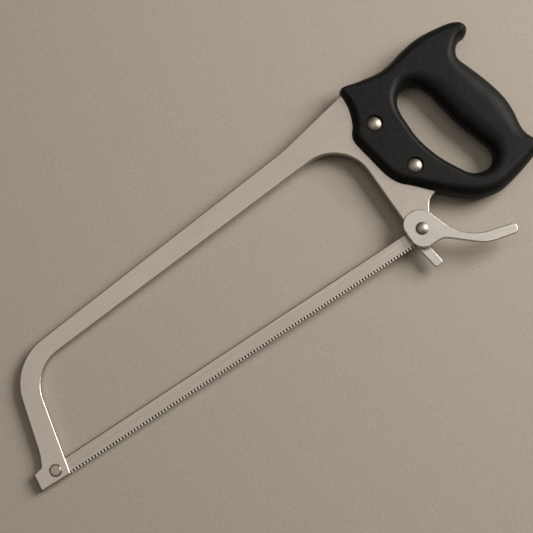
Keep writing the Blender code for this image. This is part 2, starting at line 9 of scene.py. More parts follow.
import logging
import math
from collections.abc import Iterable, Sequence
from dataclasses import dataclass
from enum import Enum
from typing import Any

import bmesh
import bpy
from bmesh.types import BMEdge, BMesh, BMVert
from mathutils import Matrix, Vector


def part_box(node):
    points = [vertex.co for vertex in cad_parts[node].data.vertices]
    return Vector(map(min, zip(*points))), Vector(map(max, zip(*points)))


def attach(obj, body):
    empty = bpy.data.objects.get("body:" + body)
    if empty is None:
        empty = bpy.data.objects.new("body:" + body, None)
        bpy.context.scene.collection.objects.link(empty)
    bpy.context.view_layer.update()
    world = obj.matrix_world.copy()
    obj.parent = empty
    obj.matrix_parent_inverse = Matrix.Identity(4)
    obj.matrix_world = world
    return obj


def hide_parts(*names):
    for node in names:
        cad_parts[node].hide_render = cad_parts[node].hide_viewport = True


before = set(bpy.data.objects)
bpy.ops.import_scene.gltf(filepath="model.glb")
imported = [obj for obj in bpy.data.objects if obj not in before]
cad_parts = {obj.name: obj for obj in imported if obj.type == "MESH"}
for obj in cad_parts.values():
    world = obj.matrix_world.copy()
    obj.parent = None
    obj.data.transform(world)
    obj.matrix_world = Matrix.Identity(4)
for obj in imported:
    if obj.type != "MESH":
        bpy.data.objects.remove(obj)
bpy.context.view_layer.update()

log = logging.getLogger("butcher_saw")

MM = 0.001  # metres in a millimetre
WELD = 0.0005
ARC_SAG = 0.012  # how far a chord may leave its arc
MOST_STEP = math.radians(9)
LATHE_STEPS = 72
SHARP = math.radians(38)
HARD_EDGE = math.radians(50)
OVERRUN = 6.0  # a cutter's reach past the face it opens
FAR_PAST = 70.0  # past the end of any slotted piece
FIT_GAP = 0.3  # between faces that meet
PIN_GAP = 0.15  # round a pin in its hole
EDGE_FAINT = 0.12  # widths of the rounded edges on turned pieces
EDGE_LIGHT = 0.15
EDGE_SOFT = 0.2
EDGE_ROUND = 0.25
NOISE_SPAN = (0.3, 0.7)  # where nearly all of a noise's values lie
NOISE_CORE = (0.35, 0.65)

Corner = tuple[float, float, float]
Profile = list[tuple[float, float]]


class Side(Enum):
    """The two sides of the saw's mid-plane."""

    NEAR = 1
    FAR = -1


class Edge(Enum):
    """The two closed edges of the handle, and which way its surface lies from each."""

    RIM = 1
    HAND_HOLE = -1


# ---- colour and nodes -----------------------------------------------------------------------

def linear(code: str) -> tuple[float, float, float, float]:
    """Turns a colour to linear light.

    Args:
        code: sRGB as #RRGGBB.

    Returns:
        Linear red, green, blue and an alpha of 1.
    """
    parts = [int(code[i:i + 2], 16) / 255 for i in (1, 3, 5)]
    light = [c / 12.92 if c <= 0.04045 else ((c + 0.055) / 1.055) ** 2.4 for c in parts]
    return light[0], light[1], light[2], 1.0


def add(tree: bpy.types.NodeTree, kind: str, inputs: dict[Any, Any] | None = None,
        **settings: Any) -> bpy.types.Node:
    """Adds a node with its settings, values and links.

    Args:
        tree: The material's node tree.
        kind: The node's type name.
        inputs: Socket name or number to a value, or to the output socket that feeds it.
        **settings: The node's own properties.

    Returns:
        The new node.
    """
    node = tree.nodes.new(kind)
    for name, value in settings.items():
        setattr(node, name, value)
    for key, value in (inputs or {}).items():
        if isinstance(value, bpy.types.NodeSocket):
            tree.links.new(value, node.inputs[key])
        else:
            node.inputs[key].default_value = value
    return node


def new_material(name: str) -> tuple[bpy.types.Material, bpy.types.NodeTree, bpy.types.Node]:
    """Starts a material.

    Args:
        name: The finish's name.

    Returns:
        The material, its tree, and its surface shader.
    """
    made = bpy.data.materials.new(name)
    made.use_nodes = True
    return made, made.node_tree, made.node_tree.nodes["Principled BSDF"]


def stretched_noise(tree: bpy.types.NodeTree, size: Sequence[float], angle: float = 0.0,
                    detail: float = 3.0, roughness: float = 0.6) -> bpy.types.NodeSocket:
    """Noise whose cells have a real size along each axis of the piece.

    Args:
        tree: The material's node tree.
        size: The cells' length, width and height in millimetres.
        angle: How far the length turns from +X towards +Y.
        detail: Octaves of finer noise.
        roughness: How strong the finer octaves are.

    Returns:
        The noise's value, from 0 to 1.
    """
    place = add(tree, "ShaderNodeTexCoord")
    scale = [1 / (side * MM) for side in size]
    turned_place = add(tree, "ShaderNodeMapping", {"Vector": place.outputs["Object"],
                                                   "Rotation": (0, 0, -angle)})
    spread = add(tree, "ShaderNodeMapping", {"Vector": turned_place.outputs[0], "Scale": scale})
    noise = add(tree, "ShaderNodeTexNoise", {"Vector": spread.outputs[0], "Scale": 1.0,
                                             "Detail": detail, "Roughness": roughness})
    return noise.outputs[0]


def ranged(tree: bpy.types.NodeTree, value: bpy.types.NodeSocket, before: tuple[float, float],
           after: tuple[float, float]) -> bpy.types.NodeSocket:
    """Maps one range of a value to another, and holds it inside.

    Args:
        tree: The material's node tree.
        value: The socket to map.
        before: Its low and high ends.
        after: What they become.

    Returns:
        The mapped value.
    """
    node = add(tree, "ShaderNodeMapRange", {0: value, 1: before[0], 2: before[1], 3: after[0],
                                            4: after[1]})
    return node.outputs[0]


def blended(tree: bpy.types.NodeTree, share: Any, first: Any, second: Any) -> bpy.types.NodeSocket:
    """Mixes two colours.

    Args:
        tree: The material's node tree.
        share: How much of the second, from 0 to 1.
        first: A hex colour or a colour socket.
        second: A hex colour or a colour socket.

    Returns:
        The mixed colour.
    """
    ends = [linear(c) if isinstance(c, str) else c for c in (first, second)]
    node = add(tree, "ShaderNodeMix", {0: share, 6: ends[0], 7: ends[1]}, data_type="RGBA")
    return node.outputs[2]


def math_node(tree: bpy.types.NodeTree, operation: str, *values: Any) -> bpy.types.NodeSocket:
    """Works out one sum.

    Args:
        tree: The material's node tree.
        operation: The node's operation name.
        *values: Its numbers or sockets, in order.

    Returns:
        The result.
    """
    return add(tree, "ShaderNodeMath", dict(enumerate(values)), operation=operation).outputs[0]


def dress(tree: bpy.types.NodeTree, shader: bpy.types.Node, colour: bpy.types.NodeSocket,
          rough: bpy.types.NodeSocket, relief: bpy.types.NodeSocket, strength: float,
          depth: float) -> None:
    """Feeds a surface shader its colour, roughness and relief.

    Args:
        tree: The material's node tree.
        shader: Its surface shader.
        colour: The colour.
        rough: The roughness.
        relief: The height that the bump follows.
        strength: The bump's strength.
        depth: The bump's depth in millimetres.
    """
    bump = add(tree, "ShaderNodeBump", {"Strength": strength, "Distance": depth * MM,
                                        "Height": relief})
    fed = {"Base Color": colour, "Roughness": rough, "Normal": bump.outputs[0]}
    for name, socket in fed.items():
        tree.links.new(socket, shader.inputs[name])


# ---- finishes -------------------------------------------------------------------------------

@dataclass(frozen=True)
class BrushedSteel:
    """Stainless steel brushed along one direction: a soft broad sheen broken by fine strokes."""

    name: str
    light: str = "#D2CAC0"
    dark: str = "#BCB3A9"
    roughness: float = 0.3
    stroke: tuple[float, float, float] = (26.0, 0.75, 0.75)  # true ones are finer than can show
    angle: float = 0.0
    depth: float = 0.02  # of the strokes, as a bump
    hair_size: tuple[float, float, float] = (60.0, 0.28, 0.28)
    hair_turn: float = 0.03  # off the strokes' direction
    hair_light: str = "#DED8CF"
    hair_share: float = 0.15
    cloud_size: tuple[float, float, float] = (70.0, 38.0, 38.0)
    smear_size: tuple[float, float, float] = (17.0, 11.0, 11.0)

    def build(self) -> bpy.types.Material:
        """Makes the material.

        Returns:
            The brushed steel.
        """
        made, tree, shader = new_material(self.name)
        strokes = stretched_noise(tree, self.stroke, self.angle, 5.0, 0.7)
        hairs = stretched_noise(tree, self.hair_size, self.angle + self.hair_turn, 2.0)
        hair = ranged(tree, hairs, (0.66, 0.76), (0.0, 1.0))
        cloud = stretched_noise(tree, self.cloud_size, 0.4, 2.0)
        smear = stretched_noise(tree, self.smear_size, 0.9, 3.0)
        tone = math_node(tree, "ADD", ranged(tree, strokes, NOISE_SPAN, (0.0, 0.8)),
                         ranged(tree, cloud, NOISE_CORE, (0.0, 0.2)))
        tinted = blended(tree, tone, self.dark, self.light)
        scored = blended(tree, math_node(tree, "MULTIPLY", hair, self.hair_share), tinted,
                         self.hair_light)
        rough = math_node(tree, "ADD", ranged(tree, strokes, NOISE_SPAN, (-0.03, 0.03)),
                          ranged(tree, smear, NOISE_SPAN, (self.roughness - 0.02,
                                                           self.roughness + 0.03)))
        relief = math_node(tree, "SUBTRACT", strokes, math_node(tree, "MULTIPLY", hair, 0.1))
        dress(tree, shader, scored, rough, relief, 0.25, self.depth)
        shader.inputs["Metallic"].default_value = 1.0
        return made


@dataclass(frozen=True)
class PolishedSteel:
    """Turned and polished stainless steel: small sharp reflections with the odd rub mark."""

    name: str
    light: str = "#AFA79C"
    dark: str = "#938A7F"
    roughness: float = 0.42
    rub_size: tuple[float, float, float] = (5.2, 2.4, 2.4)
    fine_size: tuple[float, float, float] = (0.9, 0.5, 0.5)
    relief: float = 0.003

    def build(self) -> bpy.types.Material:
        """Makes the material.

        Returns:
            The polished steel.
        """
        made, tree, shader = new_material(self.name)
        rub = stretched_noise(tree, self.rub_size, 0.7, 3.0)
        fine = stretched_noise(tree, self.fine_size, 0.0, 2.0)
        tinted = blended(tree, ranged(tree, rub, NOISE_SPAN, (0.4, 1.0)), self.dark, self.light)
        rough = ranged(tree, rub, (0.3, 0.75), (self.roughness, self.roughness + 0.06))
        dress(tree, shader, tinted, rough, fine, 0.1, self.relief)
        shader.inputs["Metallic"].default_value = 1.0
        return made


@dataclass(frozen=True)
class BladeSteel:
    """Cold-rolled carbon steel strip, ground lengthwise, with painted shade round the gullets
    between its teeth and a painted shade line along its back.
    """

    name: str
    tooth_line: float  # the teeth's tips, in the frame's metres along Y
    back_line: float  # the smooth back edge, likewise
    first_gullet: float  # in the frame's metres along X
    pitch: float
    depth: float
    shade_side: tuple[float, float] = (0.22, 0.26)  # where the painted gullet shade fades, in pitches from a gullet
    shade_top: tuple[float, float] = (1.2, 1.45)  # where the painted gullet shade fades, in depths above the tips
    shade_lean: float = 0.08  # how far the painted gullet shade leans, as a share of its height
    flank_top: tuple[float, float] = (0.9, 1.3)  # where the filed flanks fade, likewise
    light: str = "#D3CBC0"
    dark: str = "#B0A69B"
    # painted shade: the near-black colour painted round each gullet, so the notches between the
    # teeth look dark
    gullet: str = "#0B0906"
    filed: str = "#DCD5CA"  # the teeth's flanks
    scale: str = "#423A31"  # painted shade: a thin dark line along the back edge
    back_shade_width: float = 0.7
    lines: tuple[float, float, float] = (90.0, 0.55, 3.0)  # the grinding's marks
    broad: tuple[float, float, float] = (140.0, 3.2, 8.0)
    relief: float = 0.015
    roughness: float = 0.34

    def heights(self, depths: tuple[float, float]) -> tuple[float, float]:
        """Turns two heights above the tips from tooth depths to metres."""
        return self.depth * MM * depths[0], self.depth * MM * depths[1]

    def gullet_shade_mask(self, tree: bpy.types.NodeTree, along: bpy.types.NodeSocket,
                  rise: bpy.types.NodeSocket) -> bpy.types.NodeSocket:
        """Marks a narrow band round each gullet, where painted shade makes the notch look dark.

        Args:
            tree: The material's node tree.
            along: The place along X.
            rise: The height above the teeth's tips.

        Returns:
            1 at a gullet, and 0 between them.
        """
        root = math_node(tree, "SUBTRACT", self.depth * MM, rise)
        leant = math_node(tree, "ADD", along, math_node(tree, "MULTIPLY", root, self.shade_lean))
        start = self.first_gullet - self.pitch * MM / 2
        from_start = math_node(tree, "SUBTRACT", leant, start)
        turn = math_node(tree, "MODULO", math_node(tree, "DIVIDE", from_start, self.pitch * MM),
                         1.0)
        off = math_node(tree, "ABSOLUTE", math_node(tree, "SUBTRACT", turn, 0.5))
        near = ranged(tree, off, self.shade_side, (1.0, 0.0))
        low = ranged(tree, rise, self.heights(self.shade_top), (1.0, 0.0))
        return math_node(tree, "MULTIPLY", near, low)

    def toothed(self, tree: bpy.types.NodeTree, strip: bpy.types.NodeSocket,
                along: bpy.types.NodeSocket, up: bpy.types.NodeSocket
                ) -> tuple[bpy.types.NodeSocket, bpy.types.NodeSocket]:
        """Adds the filed flanks, the painted shade round the gullets and the painted shade line
        along the back to the strip's colour.

        Args:
            tree: The material's node tree.
            strip: The plain strip's colour.
            along: The place along X.
            up: The place along Y.

        Returns:
            The colour, and the mask of the painted gullet shade.
        """
        rise = math_node(tree, "SUBTRACT", up, self.tooth_line)
        flank = ranged(tree, rise, self.heights(self.flank_top), (1.0, 0.0))
        gullet_shade = self.gullet_shade_mask(tree, along, rise)
        # painted shade: the gullets' near-black colour is mixed into the steel by the mask
        filed = blended(tree, gullet_shade, blended(tree, flank, strip, self.filed), self.gullet)
        # painted shade: a thin dark line along the back edge, mixed into the colour
        below = math_node(tree, "SUBTRACT", self.back_line, up)
        width = self.back_shade_width * MM
        line = ranged(tree, below, (width * 0.7, width * 1.3), (1.0, 0.0))
        return blended(tree, line, filed, self.scale), gullet_shade

    def build(self) -> bpy.types.Material:
        """Makes the material.

        Returns:
            The blade's steel.
        """
        made, tree, shader = new_material(self.name)
        lines = stretched_noise(tree, self.lines, 0.0, 4.0, 0.65)
        broad = stretched_noise(tree, self.broad, 0.0, 2.0)
        tone = math_node(tree, "ADD", ranged(tree, lines, NOISE_SPAN, (0.0, 0.8)),
                         ranged(tree, broad, NOISE_CORE, (0.0, 0.2)))
        strip = blended(tree, tone, self.dark, self.light)
        place = add(tree, "ShaderNodeTexCoord")
        axes = add(tree, "ShaderNodeSeparateXYZ", {0: place.outputs["Object"]})
        colour, gullet_shade = self.toothed(tree, strip, axes.outputs[0], axes.outputs[1])
        rough = math_node(tree, "ADD", ranged(tree, lines, NOISE_SPAN, (self.roughness - 0.06,
                                                                       self.roughness + 0.08)),
                          math_node(tree, "MULTIPLY", gullet_shade, 0.3))
        dress(tree, shader, colour, rough, lines, 0.3, self.relief)
        shader.inputs["Metallic"].default_value = 1.0
        return made


@dataclass(frozen=True)
class GrainedPolypropylene:
    """Black polypropylene moulded in a spark-eroded tool: a fine even grain and a low wide sheen."""

    name: str = "grained_black_polypropylene"
    deep: str = "#070707"
    worn: str = "#1C1C1B"
    roughness: float = 0.5
    grain: float = 1.5  # true grain is about 0.3 mm, which is too fine to show
    grain_depth: float = 0.22
    fine_size: tuple[float, float, float] = (1.6, 1.6, 1.6)
    rub_size: tuple[float, float, float] = (34.0, 22.0, 22.0)
    refraction: float = 1.49
    sheen: float = 0.21  # the shader's specular level

    def build(self) -> bpy.types.Material:
        """Makes the material.

        Returns:
            The handle's plastic.
        """
        made, tree, shader = new_material(self.name)
        place = add(tree, "ShaderNodeTexCoord")
        pits = add(tree, "ShaderNodeTexVoronoi", {"Vector": place.outputs["Object"],
                                                  "Scale": 1 / (self.grain * MM)})
        fine = stretched_noise(tree, self.fine_size, 0.0, 2.0)
        rubbed = stretched_noise(tree, self.rub_size, 0.6, 4.0)
        tone = math_node(tree, "ADD", ranged(tree, rubbed, (0.35, 0.7), (0.0, 0.25)),
                         ranged(tree, fine, (0.4, 0.6), (0.0, 0.75)))
        colour = blended(tree, tone, self.deep, self.worn)
        rough = math_node(tree, "ADD", ranged(tree, fine, NOISE_SPAN, (-0.04, 0.05)),
                          ranged(tree, rubbed, NOISE_SPAN, (self.roughness + 0.04,
                                                            self.roughness - 0.05)))
        relief = math_node(tree, "ADD", pits.outputs[0], math_node(tree, "MULTIPLY", fine, 0.8))
        dress(tree, shader, colour, rough, relief, 0.35, self.grain_depth)
        shader.inputs["IOR"].default_value = self.refraction
        shader.inputs["Specular IOR Level"].default_value = self.sheen
        return made


# ---- objects --------------------------------------------------------------------------------

def placed(name: str, data: bpy.types.ID) -> bpy.types.Object:
    """Puts a new object in the scene.

    Args:
        name: The object's name.
        data: Its mesh, lamp or camera.

    Returns:
        The object.
    """
    made = bpy.data.objects.new(name, data)
    bpy.context.scene.collection.objects.link(made)
    return made


# ---- mesh tools -----------------------------------------------------------------------------

def closed_outline(mesh: BMesh, corners: Sequence[Corner]) -> list[BMEdge]:
    """Draws straight runs between rounded corners, each corner an arc spun about its centre.

    Args:
        mesh: The mesh that takes the outline.
        corners: x, y and radius of each corner, in order round the outline.

    Returns:
        The outline's edges.
    """
    ends: list[tuple[BMVert, BMVert]] = []
    for i, (x, y, radius) in enumerate(corners):
        corner = Vector((x, y, 0))
        back = Vector((*corners[i - 1][:2], 0)) - corner
        ahead = Vector((*corners[(i + 1) % len(corners)][:2], 0)) - corner
        turn = math.pi - back.angle(ahead)
        reach = min(radius * math.tan(turn / 2), back.length / 2, ahead.length / 2)
        start = mesh.verts.new(corner + reach * back.normalized())
        if reach < ARC_SAG:
            ends.append((start, start))
            continue
        round_size = reach / math.tan(turn / 2)
        middle = (back.normalized() + ahead.normalized()).normalized()
        centre = corner + middle * (round_size / math.cos(turn / 2))
        side = 1 if back.cross(ahead).z < 0 else -1
        step = min(MOST_STEP, 2 * math.acos(1 - min(ARC_SAG / round_size, 1)))
        spun = bmesh.ops.spin(mesh, geom=[start], cent=centre, axis=(0, 0, side), angle=turn,
                              steps=max(2, math.ceil(turn / step)))
        ends.append((start, spun["geom_last"][0]))
    for (_, finish), (start, _) in zip(ends, ends[1:] + ends[:1]):
        if (finish.co - start.co).length > WELD:
            mesh.edges.new((finish, start))
    bmesh.ops.remove_doubles(mesh, verts=mesh.verts, dist=WELD)
    return list(mesh.edges)


def grown(corners: Sequence[Corner], distance: float) -> list[Corner]:
    """Moves an outline outwards all round, and keeps its arcs on their centres.

    Args:
        corners: The corners, clockwise seen from the near side.
        distance: How far it moves.

    Returns:
        The corners of the larger outline.
    """
    moved = []
    for i, (x, y, radius) in enumerate(corners):
        corner = Vector((x, y))
        back = (Vector(corners[i - 1][:2]) - corner).normalized()
        ahead = (Vector(corners[(i + 1) % len(corners)][:2]) - corner).normalized()
        convex = back.cross(ahead) > 0
        middle = -(back + ahead).normalized() * (1 if convex else -1)
        half = back.angle(ahead) / 2
        place = corner + middle * (distance / math.sin(half))
        moved.append((place.x, place.y, max(radius + (distance if convex else -distance), 0)))
    return moved


def shifted(corners: Iterable[Corner], origin: Vector) -> list[Corner]:
    """Moves corners or control points from a group's own origin into the drawing.

    Args:
        corners: x, y and a size that stays as it is.
        origin: The group's origin.

    Returns:
        The moved corners.
    """
    return [(x + origin.x, y + origin.y, size) for x, y, size in corners]


def raised(mesh: BMesh, low: float, high: float) -> BMesh:
    """Extrudes the mesh's flat faces to a plate.

    Args:
        mesh: A mesh whose faces are at height 0.
        low: The plate's underside.
        high: Its top.

    Returns:
        The same mesh.
    """
    bmesh.ops.translate(mesh, verts=mesh.verts, vec=(0, 0, low))
    top = bmesh.ops.extrude_face_region(mesh, geom=mesh.faces[:])["geom"]
    bmesh.ops.translate(mesh, verts=[v for v in top if isinstance(v, BMVert)],
                        vec=(0, 0, high - low))
    bmesh.ops.recalc_face_normals(mesh, faces=mesh.faces)
    return mesh


def plate(corners: Sequence[Corner], low: float, high: float, edge: float = 0.0,
          segments: int = 5) -> BMesh:
    """A flat plate with rounded corners and rounded edges.

    Args:
        corners: Its outline.
        low: The height of its underside.
        high: The height of its top.
        edge: The radius of its edges.
        segments: How many flats make that radius.

    Returns:
        The plate.
    """
    mesh = bmesh.new()
    bmesh.ops.contextual_create(mesh, geom=closed_outline(mesh, corners))
    raised(mesh, low, high)
    if edge:
        rims = [e for e in mesh.edges if abs(e.verts[0].co.z - e.verts[1].co.z) < WELD]
        bmesh.ops.bevel(mesh, geom=rims, offset=edge, affect="EDGES", segments=segments,
                        profile=0.5, material=-1)
        bmesh.ops.remove_doubles(mesh, verts=mesh.verts, dist=WELD)
    return mesh


def disc(centre: Vector, radius: float, low: float, high: float) -> BMesh:
    """A round solid that stands on its own axis.

    Args:
        centre: Where the axis crosses the mid-plane.
        radius: Its radius.
        low: The height of its underside.
        high: The height of its top.

    Returns:
        The solid.
    """
    return turned([(0, low), (radius, low), (radius, high), (0, high)], centre)


def block(low: Sequence[float], high: Sequence[float]) -> BMesh:
    """A square-cornered block, for cutting slots.

    Args:
        low: Its lowest corner.
        high: Its highest corner.

    Returns:
        The block.
    """
    mesh = bmesh.new()
    bmesh.ops.create_cube(mesh, size=1.0)
    size = [b - a for a, b in zip(low, high)]
    middle = [(a + b) / 2 for a, b in zip(low, high)]
    bmesh.ops.scale(mesh, verts=mesh.verts, vec=size)
    bmesh.ops.translate(mesh, verts=mesh.verts, vec=middle)
    return mesh


def turned(profile: Profile, centre: Vector, steps: int = LATHE_STEPS) -> BMesh:
    """Spins a profile about an upright axis.

    Args:
        profile: Radius and height of each point. One that leaves the axis is closed to a ring.
        centre: Where the axis crosses the mid-plane.
        steps: How many faces go round.

    Returns:
        The turned solid.
    """
    mesh = bmesh.new()
    points = [mesh.verts.new((radius, 0, height)) for radius, height in profile]
    pairs = list(zip(points, points[1:]))
    if profile[0][0] > 0:
        pairs.append((points[-1], points[0]))
    edges = [mesh.edges.new(pair) for pair in pairs]
    bmesh.ops.spin(mesh, geom=points + edges, cent=(0, 0, 0), axis=(0, 0, 1),
                   angle=2 * math.pi, steps=steps, use_merge=True)
    bmesh.ops.remove_doubles(mesh, verts=mesh.verts, dist=WELD)
    bmesh.ops.recalc_face_normals(mesh, faces=mesh.faces)
    bmesh.ops.translate(mesh, verts=mesh.verts, vec=(centre.x, centre.y, 0))
    return mesh


def softened(mesh: BMesh, width: float, segments: int = 2) -> BMesh:
    """Rounds every hard edge a little, as tumbling does.

    Args:
        mesh: The mesh.
        width: The rounding's width.
        segments: How many flats make it.

    Returns:
        The same mesh.
    """
    hard = [e for e in mesh.edges if e.is_manifold and e.calc_face_angle() > HARD_EDGE]
    bmesh.ops.bevel(mesh, geom=hard, offset=width, affect="EDGES", segments=segments,
                    profile=0.5, material=-1, clamp_overlap=True)
    bmesh.ops.remove_doubles(mesh, verts=mesh.verts, dist=WELD)
    return mesh


def dome(radius: float, low: float, rise: float, lip: float) -> Profile:
    """The outer half of a domed head's profile.

    Args:
        radius: The head's radius.
        low: The height of its seat.
        rise: How far its crown stands from the seat. Negative for one that faces down.
        lip: The share of the rise that is a straight lip.

    Returns:
        Points from the rim's seat to the crown on the axis.
    """
    crown_steps = 12
    straight = rise * lip
    ball = (radius**2 + (rise - straight) ** 2) / (2 * (rise - straight))
    spread = math.asin(radius / ball)
    angles = [spread * (1 - i / crown_steps) for i in range(crown_steps)]
    crown = [(ball * math.sin(a), low + rise - ball * (1 - math.cos(a))) for a in angles]
    return [(radius, low), *crown, (0, low + rise)]


def carved(body: BMesh, cutters: Iterable[BMesh], operation: str = "DIFFERENCE") -> BMesh:
    """Cuts a body with other solids, or joins them to it, by exact Booleans.

    Args:
        body: The solid to keep. It is used up.
        cutters: The other solids. They are used up too.
        operation: DIFFERENCE, UNION or INTERSECT.

    Returns:
        A new mesh of what is left.
    """
    objects = []
    for mesh in (body, *cutters):
        data = bpy.data.meshes.new("blank")
        mesh.to_mesh(data)
        mesh.free()
        objects.append(placed("blank", data))
    for other in objects[1:]:
        change = objects[0].modifiers.new("cut", "BOOLEAN")
        change.operation = operation
        change.solver = "EXACT"
        change.object = other
    depsgraph = bpy.context.evaluated_depsgraph_get()
    result = bmesh.new()
    result.from_mesh(objects[0].evaluated_get(depsgraph).to_mesh())
    for made in objects:
        data = made.data
        bpy.data.objects.remove(made)
        bpy.data.meshes.remove(data)
    bmesh.ops.remove_doubles(result, verts=result.verts, dist=WELD)
    return result


# ---- the bench ------------------------------------------------------------------------------

@dataclass(frozen=True)
class Extent:
    """The box of one node of the frame, in the drawing's millimetres."""

    low: Vector
    high: Vector

    @property
    def centre(self) -> Vector:
        """The middle of the box."""
        return (self.low + self.high) / 2

    @property
    def radius(self) -> float:
        """Half the box's width, which is a round node's radius."""
        return (self.high.x - self.low.x) / 2


@dataclass(frozen=True)
class Bench:
    """Where drawing and frame meet: it reads nodes' places, and turns meshes into pieces."""

    origin: Vector  # the drawing's origin, in the frame's metres

    @classmethod
    def set_up(cls) -> "Bench":
        """Finds the drawing's origin from the blade post and the bow's mid-plane.

        Returns:
            The bench.
        """
        post = sum(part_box("blade_post"), Vector()) / 2
        bow = sum(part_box("frame"), Vector()) / 2
        return cls(Vector((post.x, post.y, bow.z)))

    def extent(self, node: str) -> Extent:
        """Reads a node's box.

        Args:
            node: The node's name.

        Returns:
            Its box in the drawing.
        """
        low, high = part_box(node)
        return Extent((low - self.origin) / MM, (high - self.origin) / MM)

    def stored(self, name: str, mesh: BMesh) -> bpy.types.Mesh:
        """Moves a mesh from the drawing to the frame's metres, and stores it.

        Args:
            name: The stored mesh's name.
            mesh: The mesh in the drawing. It is used up.

        Returns:
            The stored mesh.
        """
        mesh.transform(Matrix.Translation(self.origin) @ Matrix.Scale(MM, 4))
        data = bpy.data.meshes.new(name)
        mesh.to_mesh(data)
        mesh.free()
        return data

    def piece(self, name: str, mesh: BMesh, finish: bpy.types.Material, body: str, slot: str,
              node: str) -> bpy.types.Object:
        """Makes a piece of a finished mesh, and lets it stand for a node.

        Args:
            name: The piece's name.
            mesh: Its mesh in the drawing. It is used up.
            finish: Its material.
            body: The body it rides on.
            slot: The record's material slot; not used.
            node: The node it stands for.

        Returns:
            The piece.
        """
        data = self.stored(name, mesh)
        data.shade_smooth()
        data.set_sharp_from_angle(angle=SHARP)
        data.materials.append(finish)
        made = placed(name, data)
        evened = made.modifiers.new("even_shading", "WEIGHTED_NORMAL")
        evened.keep_sharp = True
        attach(made, body)
        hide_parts(node)
        log.info("%s: %d faces, rides on %s", name, len(data.polygons), body)
        return made


# ---- sub-assemblies -------------------------------------------------------------------------

@dataclass
class BowFrame:
    """The one steel plate that is the toe, front arm, bar, web, tang and rear leg."""

    bench: Bench
    pivot: Vector
    steel: bpy.types.Material
    thick: float = 8.0
    edge: float = 1.3
    rise: float = 110.0  # the bow's front corner above the blade post
    bar_drop: float = 17.1
    leg_front: float = -9.0  # from the pivot
    leg_back: float = 16.2
    leg_foot: float = -13.0
    fork_top: float = 10.2
    fork_half: float = 2.05
    kerf_half: float = 0.7
    kerf_top: float = 12.5
    bolt_bore: float = 3.0
    post_seat: float = 1.5
    post_bore: float = 3.15
    rim_break: float = 0.35  # chamfer at the mouth of a counterbore

    def corners(self) -> list[Corner]:
        """Lists the outline's corners.

        Returns:
            x, y and radius of each, clockwise seen from the near side.
        """
        handle = Vector((self.pivot.x, 0))
        toe = [(-21.2, -9.6, 1.8), (-19.2, 8.0, 2), (-9.8, 9.8, 1.5), (-4.6, 21.6, 25)]
        bow = [(17.5, self.rise, 53)]
        web = [(-69, 141, 150), (12, 157.2, 3), (27, 155.5, 8), (42.5, 138, 14), (42, 74, 50),
               (49, 48, 8), (45, 34, 8), (36.5, 24.6, 0), (24.5, 21.6, 22)]
        leg = [(self.leg_back, 9.5, 5), (self.leg_back, self.leg_foot, 13),
               (self.leg_front, self.leg_foot, 13)]
        throat = [(self.leg_front, 120.6, 40)]
        arm = [(32, self.rise - self.bar_drop, 40), (10.3, -10.2, 1.6)]
        return (toe + bow + shifted(web, handle) + shifted(leg, self.pivot)
                + shifted(throat, handle) + arm)

    def post_cutter(self) -> BMesh:
        """The stepped bore for the blade post and its screw, with its mouths broken.

        Returns:
            The cutter.
        """
        face = self.thick / 2
        seat, past, rim = face - self.post_seat, face + OVERRUN, self.rim_break
        near = self.bench.extent("blade_post").radius + FIT_GAP
        far = self.bench.extent("blade_post_screw").radius + FIT_GAP
        flare = OVERRUN + rim
        return turned([(0, -past), (far + flare, -past), (far, -face + rim), (far, -seat),
                       (self.post_bore, -seat), (self.post_bore, seat), (near, seat),
                       (near, face - rim), (near + flare, past), (0, past)], Vector((0, 0)))

    def build(self, binder_bores: Sequence[BMesh]) -> None:
        """Makes the plate with its slots and bores.

        Args:
            binder_bores: Cutters for the holes that the handle's fastenings pass through.
        """
        face = self.thick / 2
        past = face + OVERRUN
        fork = block((self.pivot.x + self.leg_front - OVERRUN, self.leg_foot - OVERRUN,
                      -self.fork_half),
                     (self.pivot.x + self.leg_back + OVERRUN, self.fork_top, self.fork_half))
        kerf = block((-FAR_PAST, -FAR_PAST, -self.kerf_half),
                     (FAR_PAST, self.kerf_top, self.kerf_half))
        stop = self.bench.extent("lever_stop_pin")
        cuts = [fork, kerf, disc(self.pivot, self.bolt_bore, -past, past),
                disc(stop.centre, stop.radius + PIN_GAP, 0, past), self.post_cutter(),
                *binder_bores]
        body = carved(plate(self.corners(), -face, face, self.edge), cuts)
        self.bench.piece("bow_frame", body, self.steel, "frame", "frame_steel", "frame")

    def tang_cutter(self) -> BMesh:
        """The plate with clearance all round, which hollows the handle's pocket.

        Returns:
            The cutter.
        """
        face = self.thick / 2 + FIT_GAP
        return plate(grown(self.corners(), FIT_GAP), -face, face)


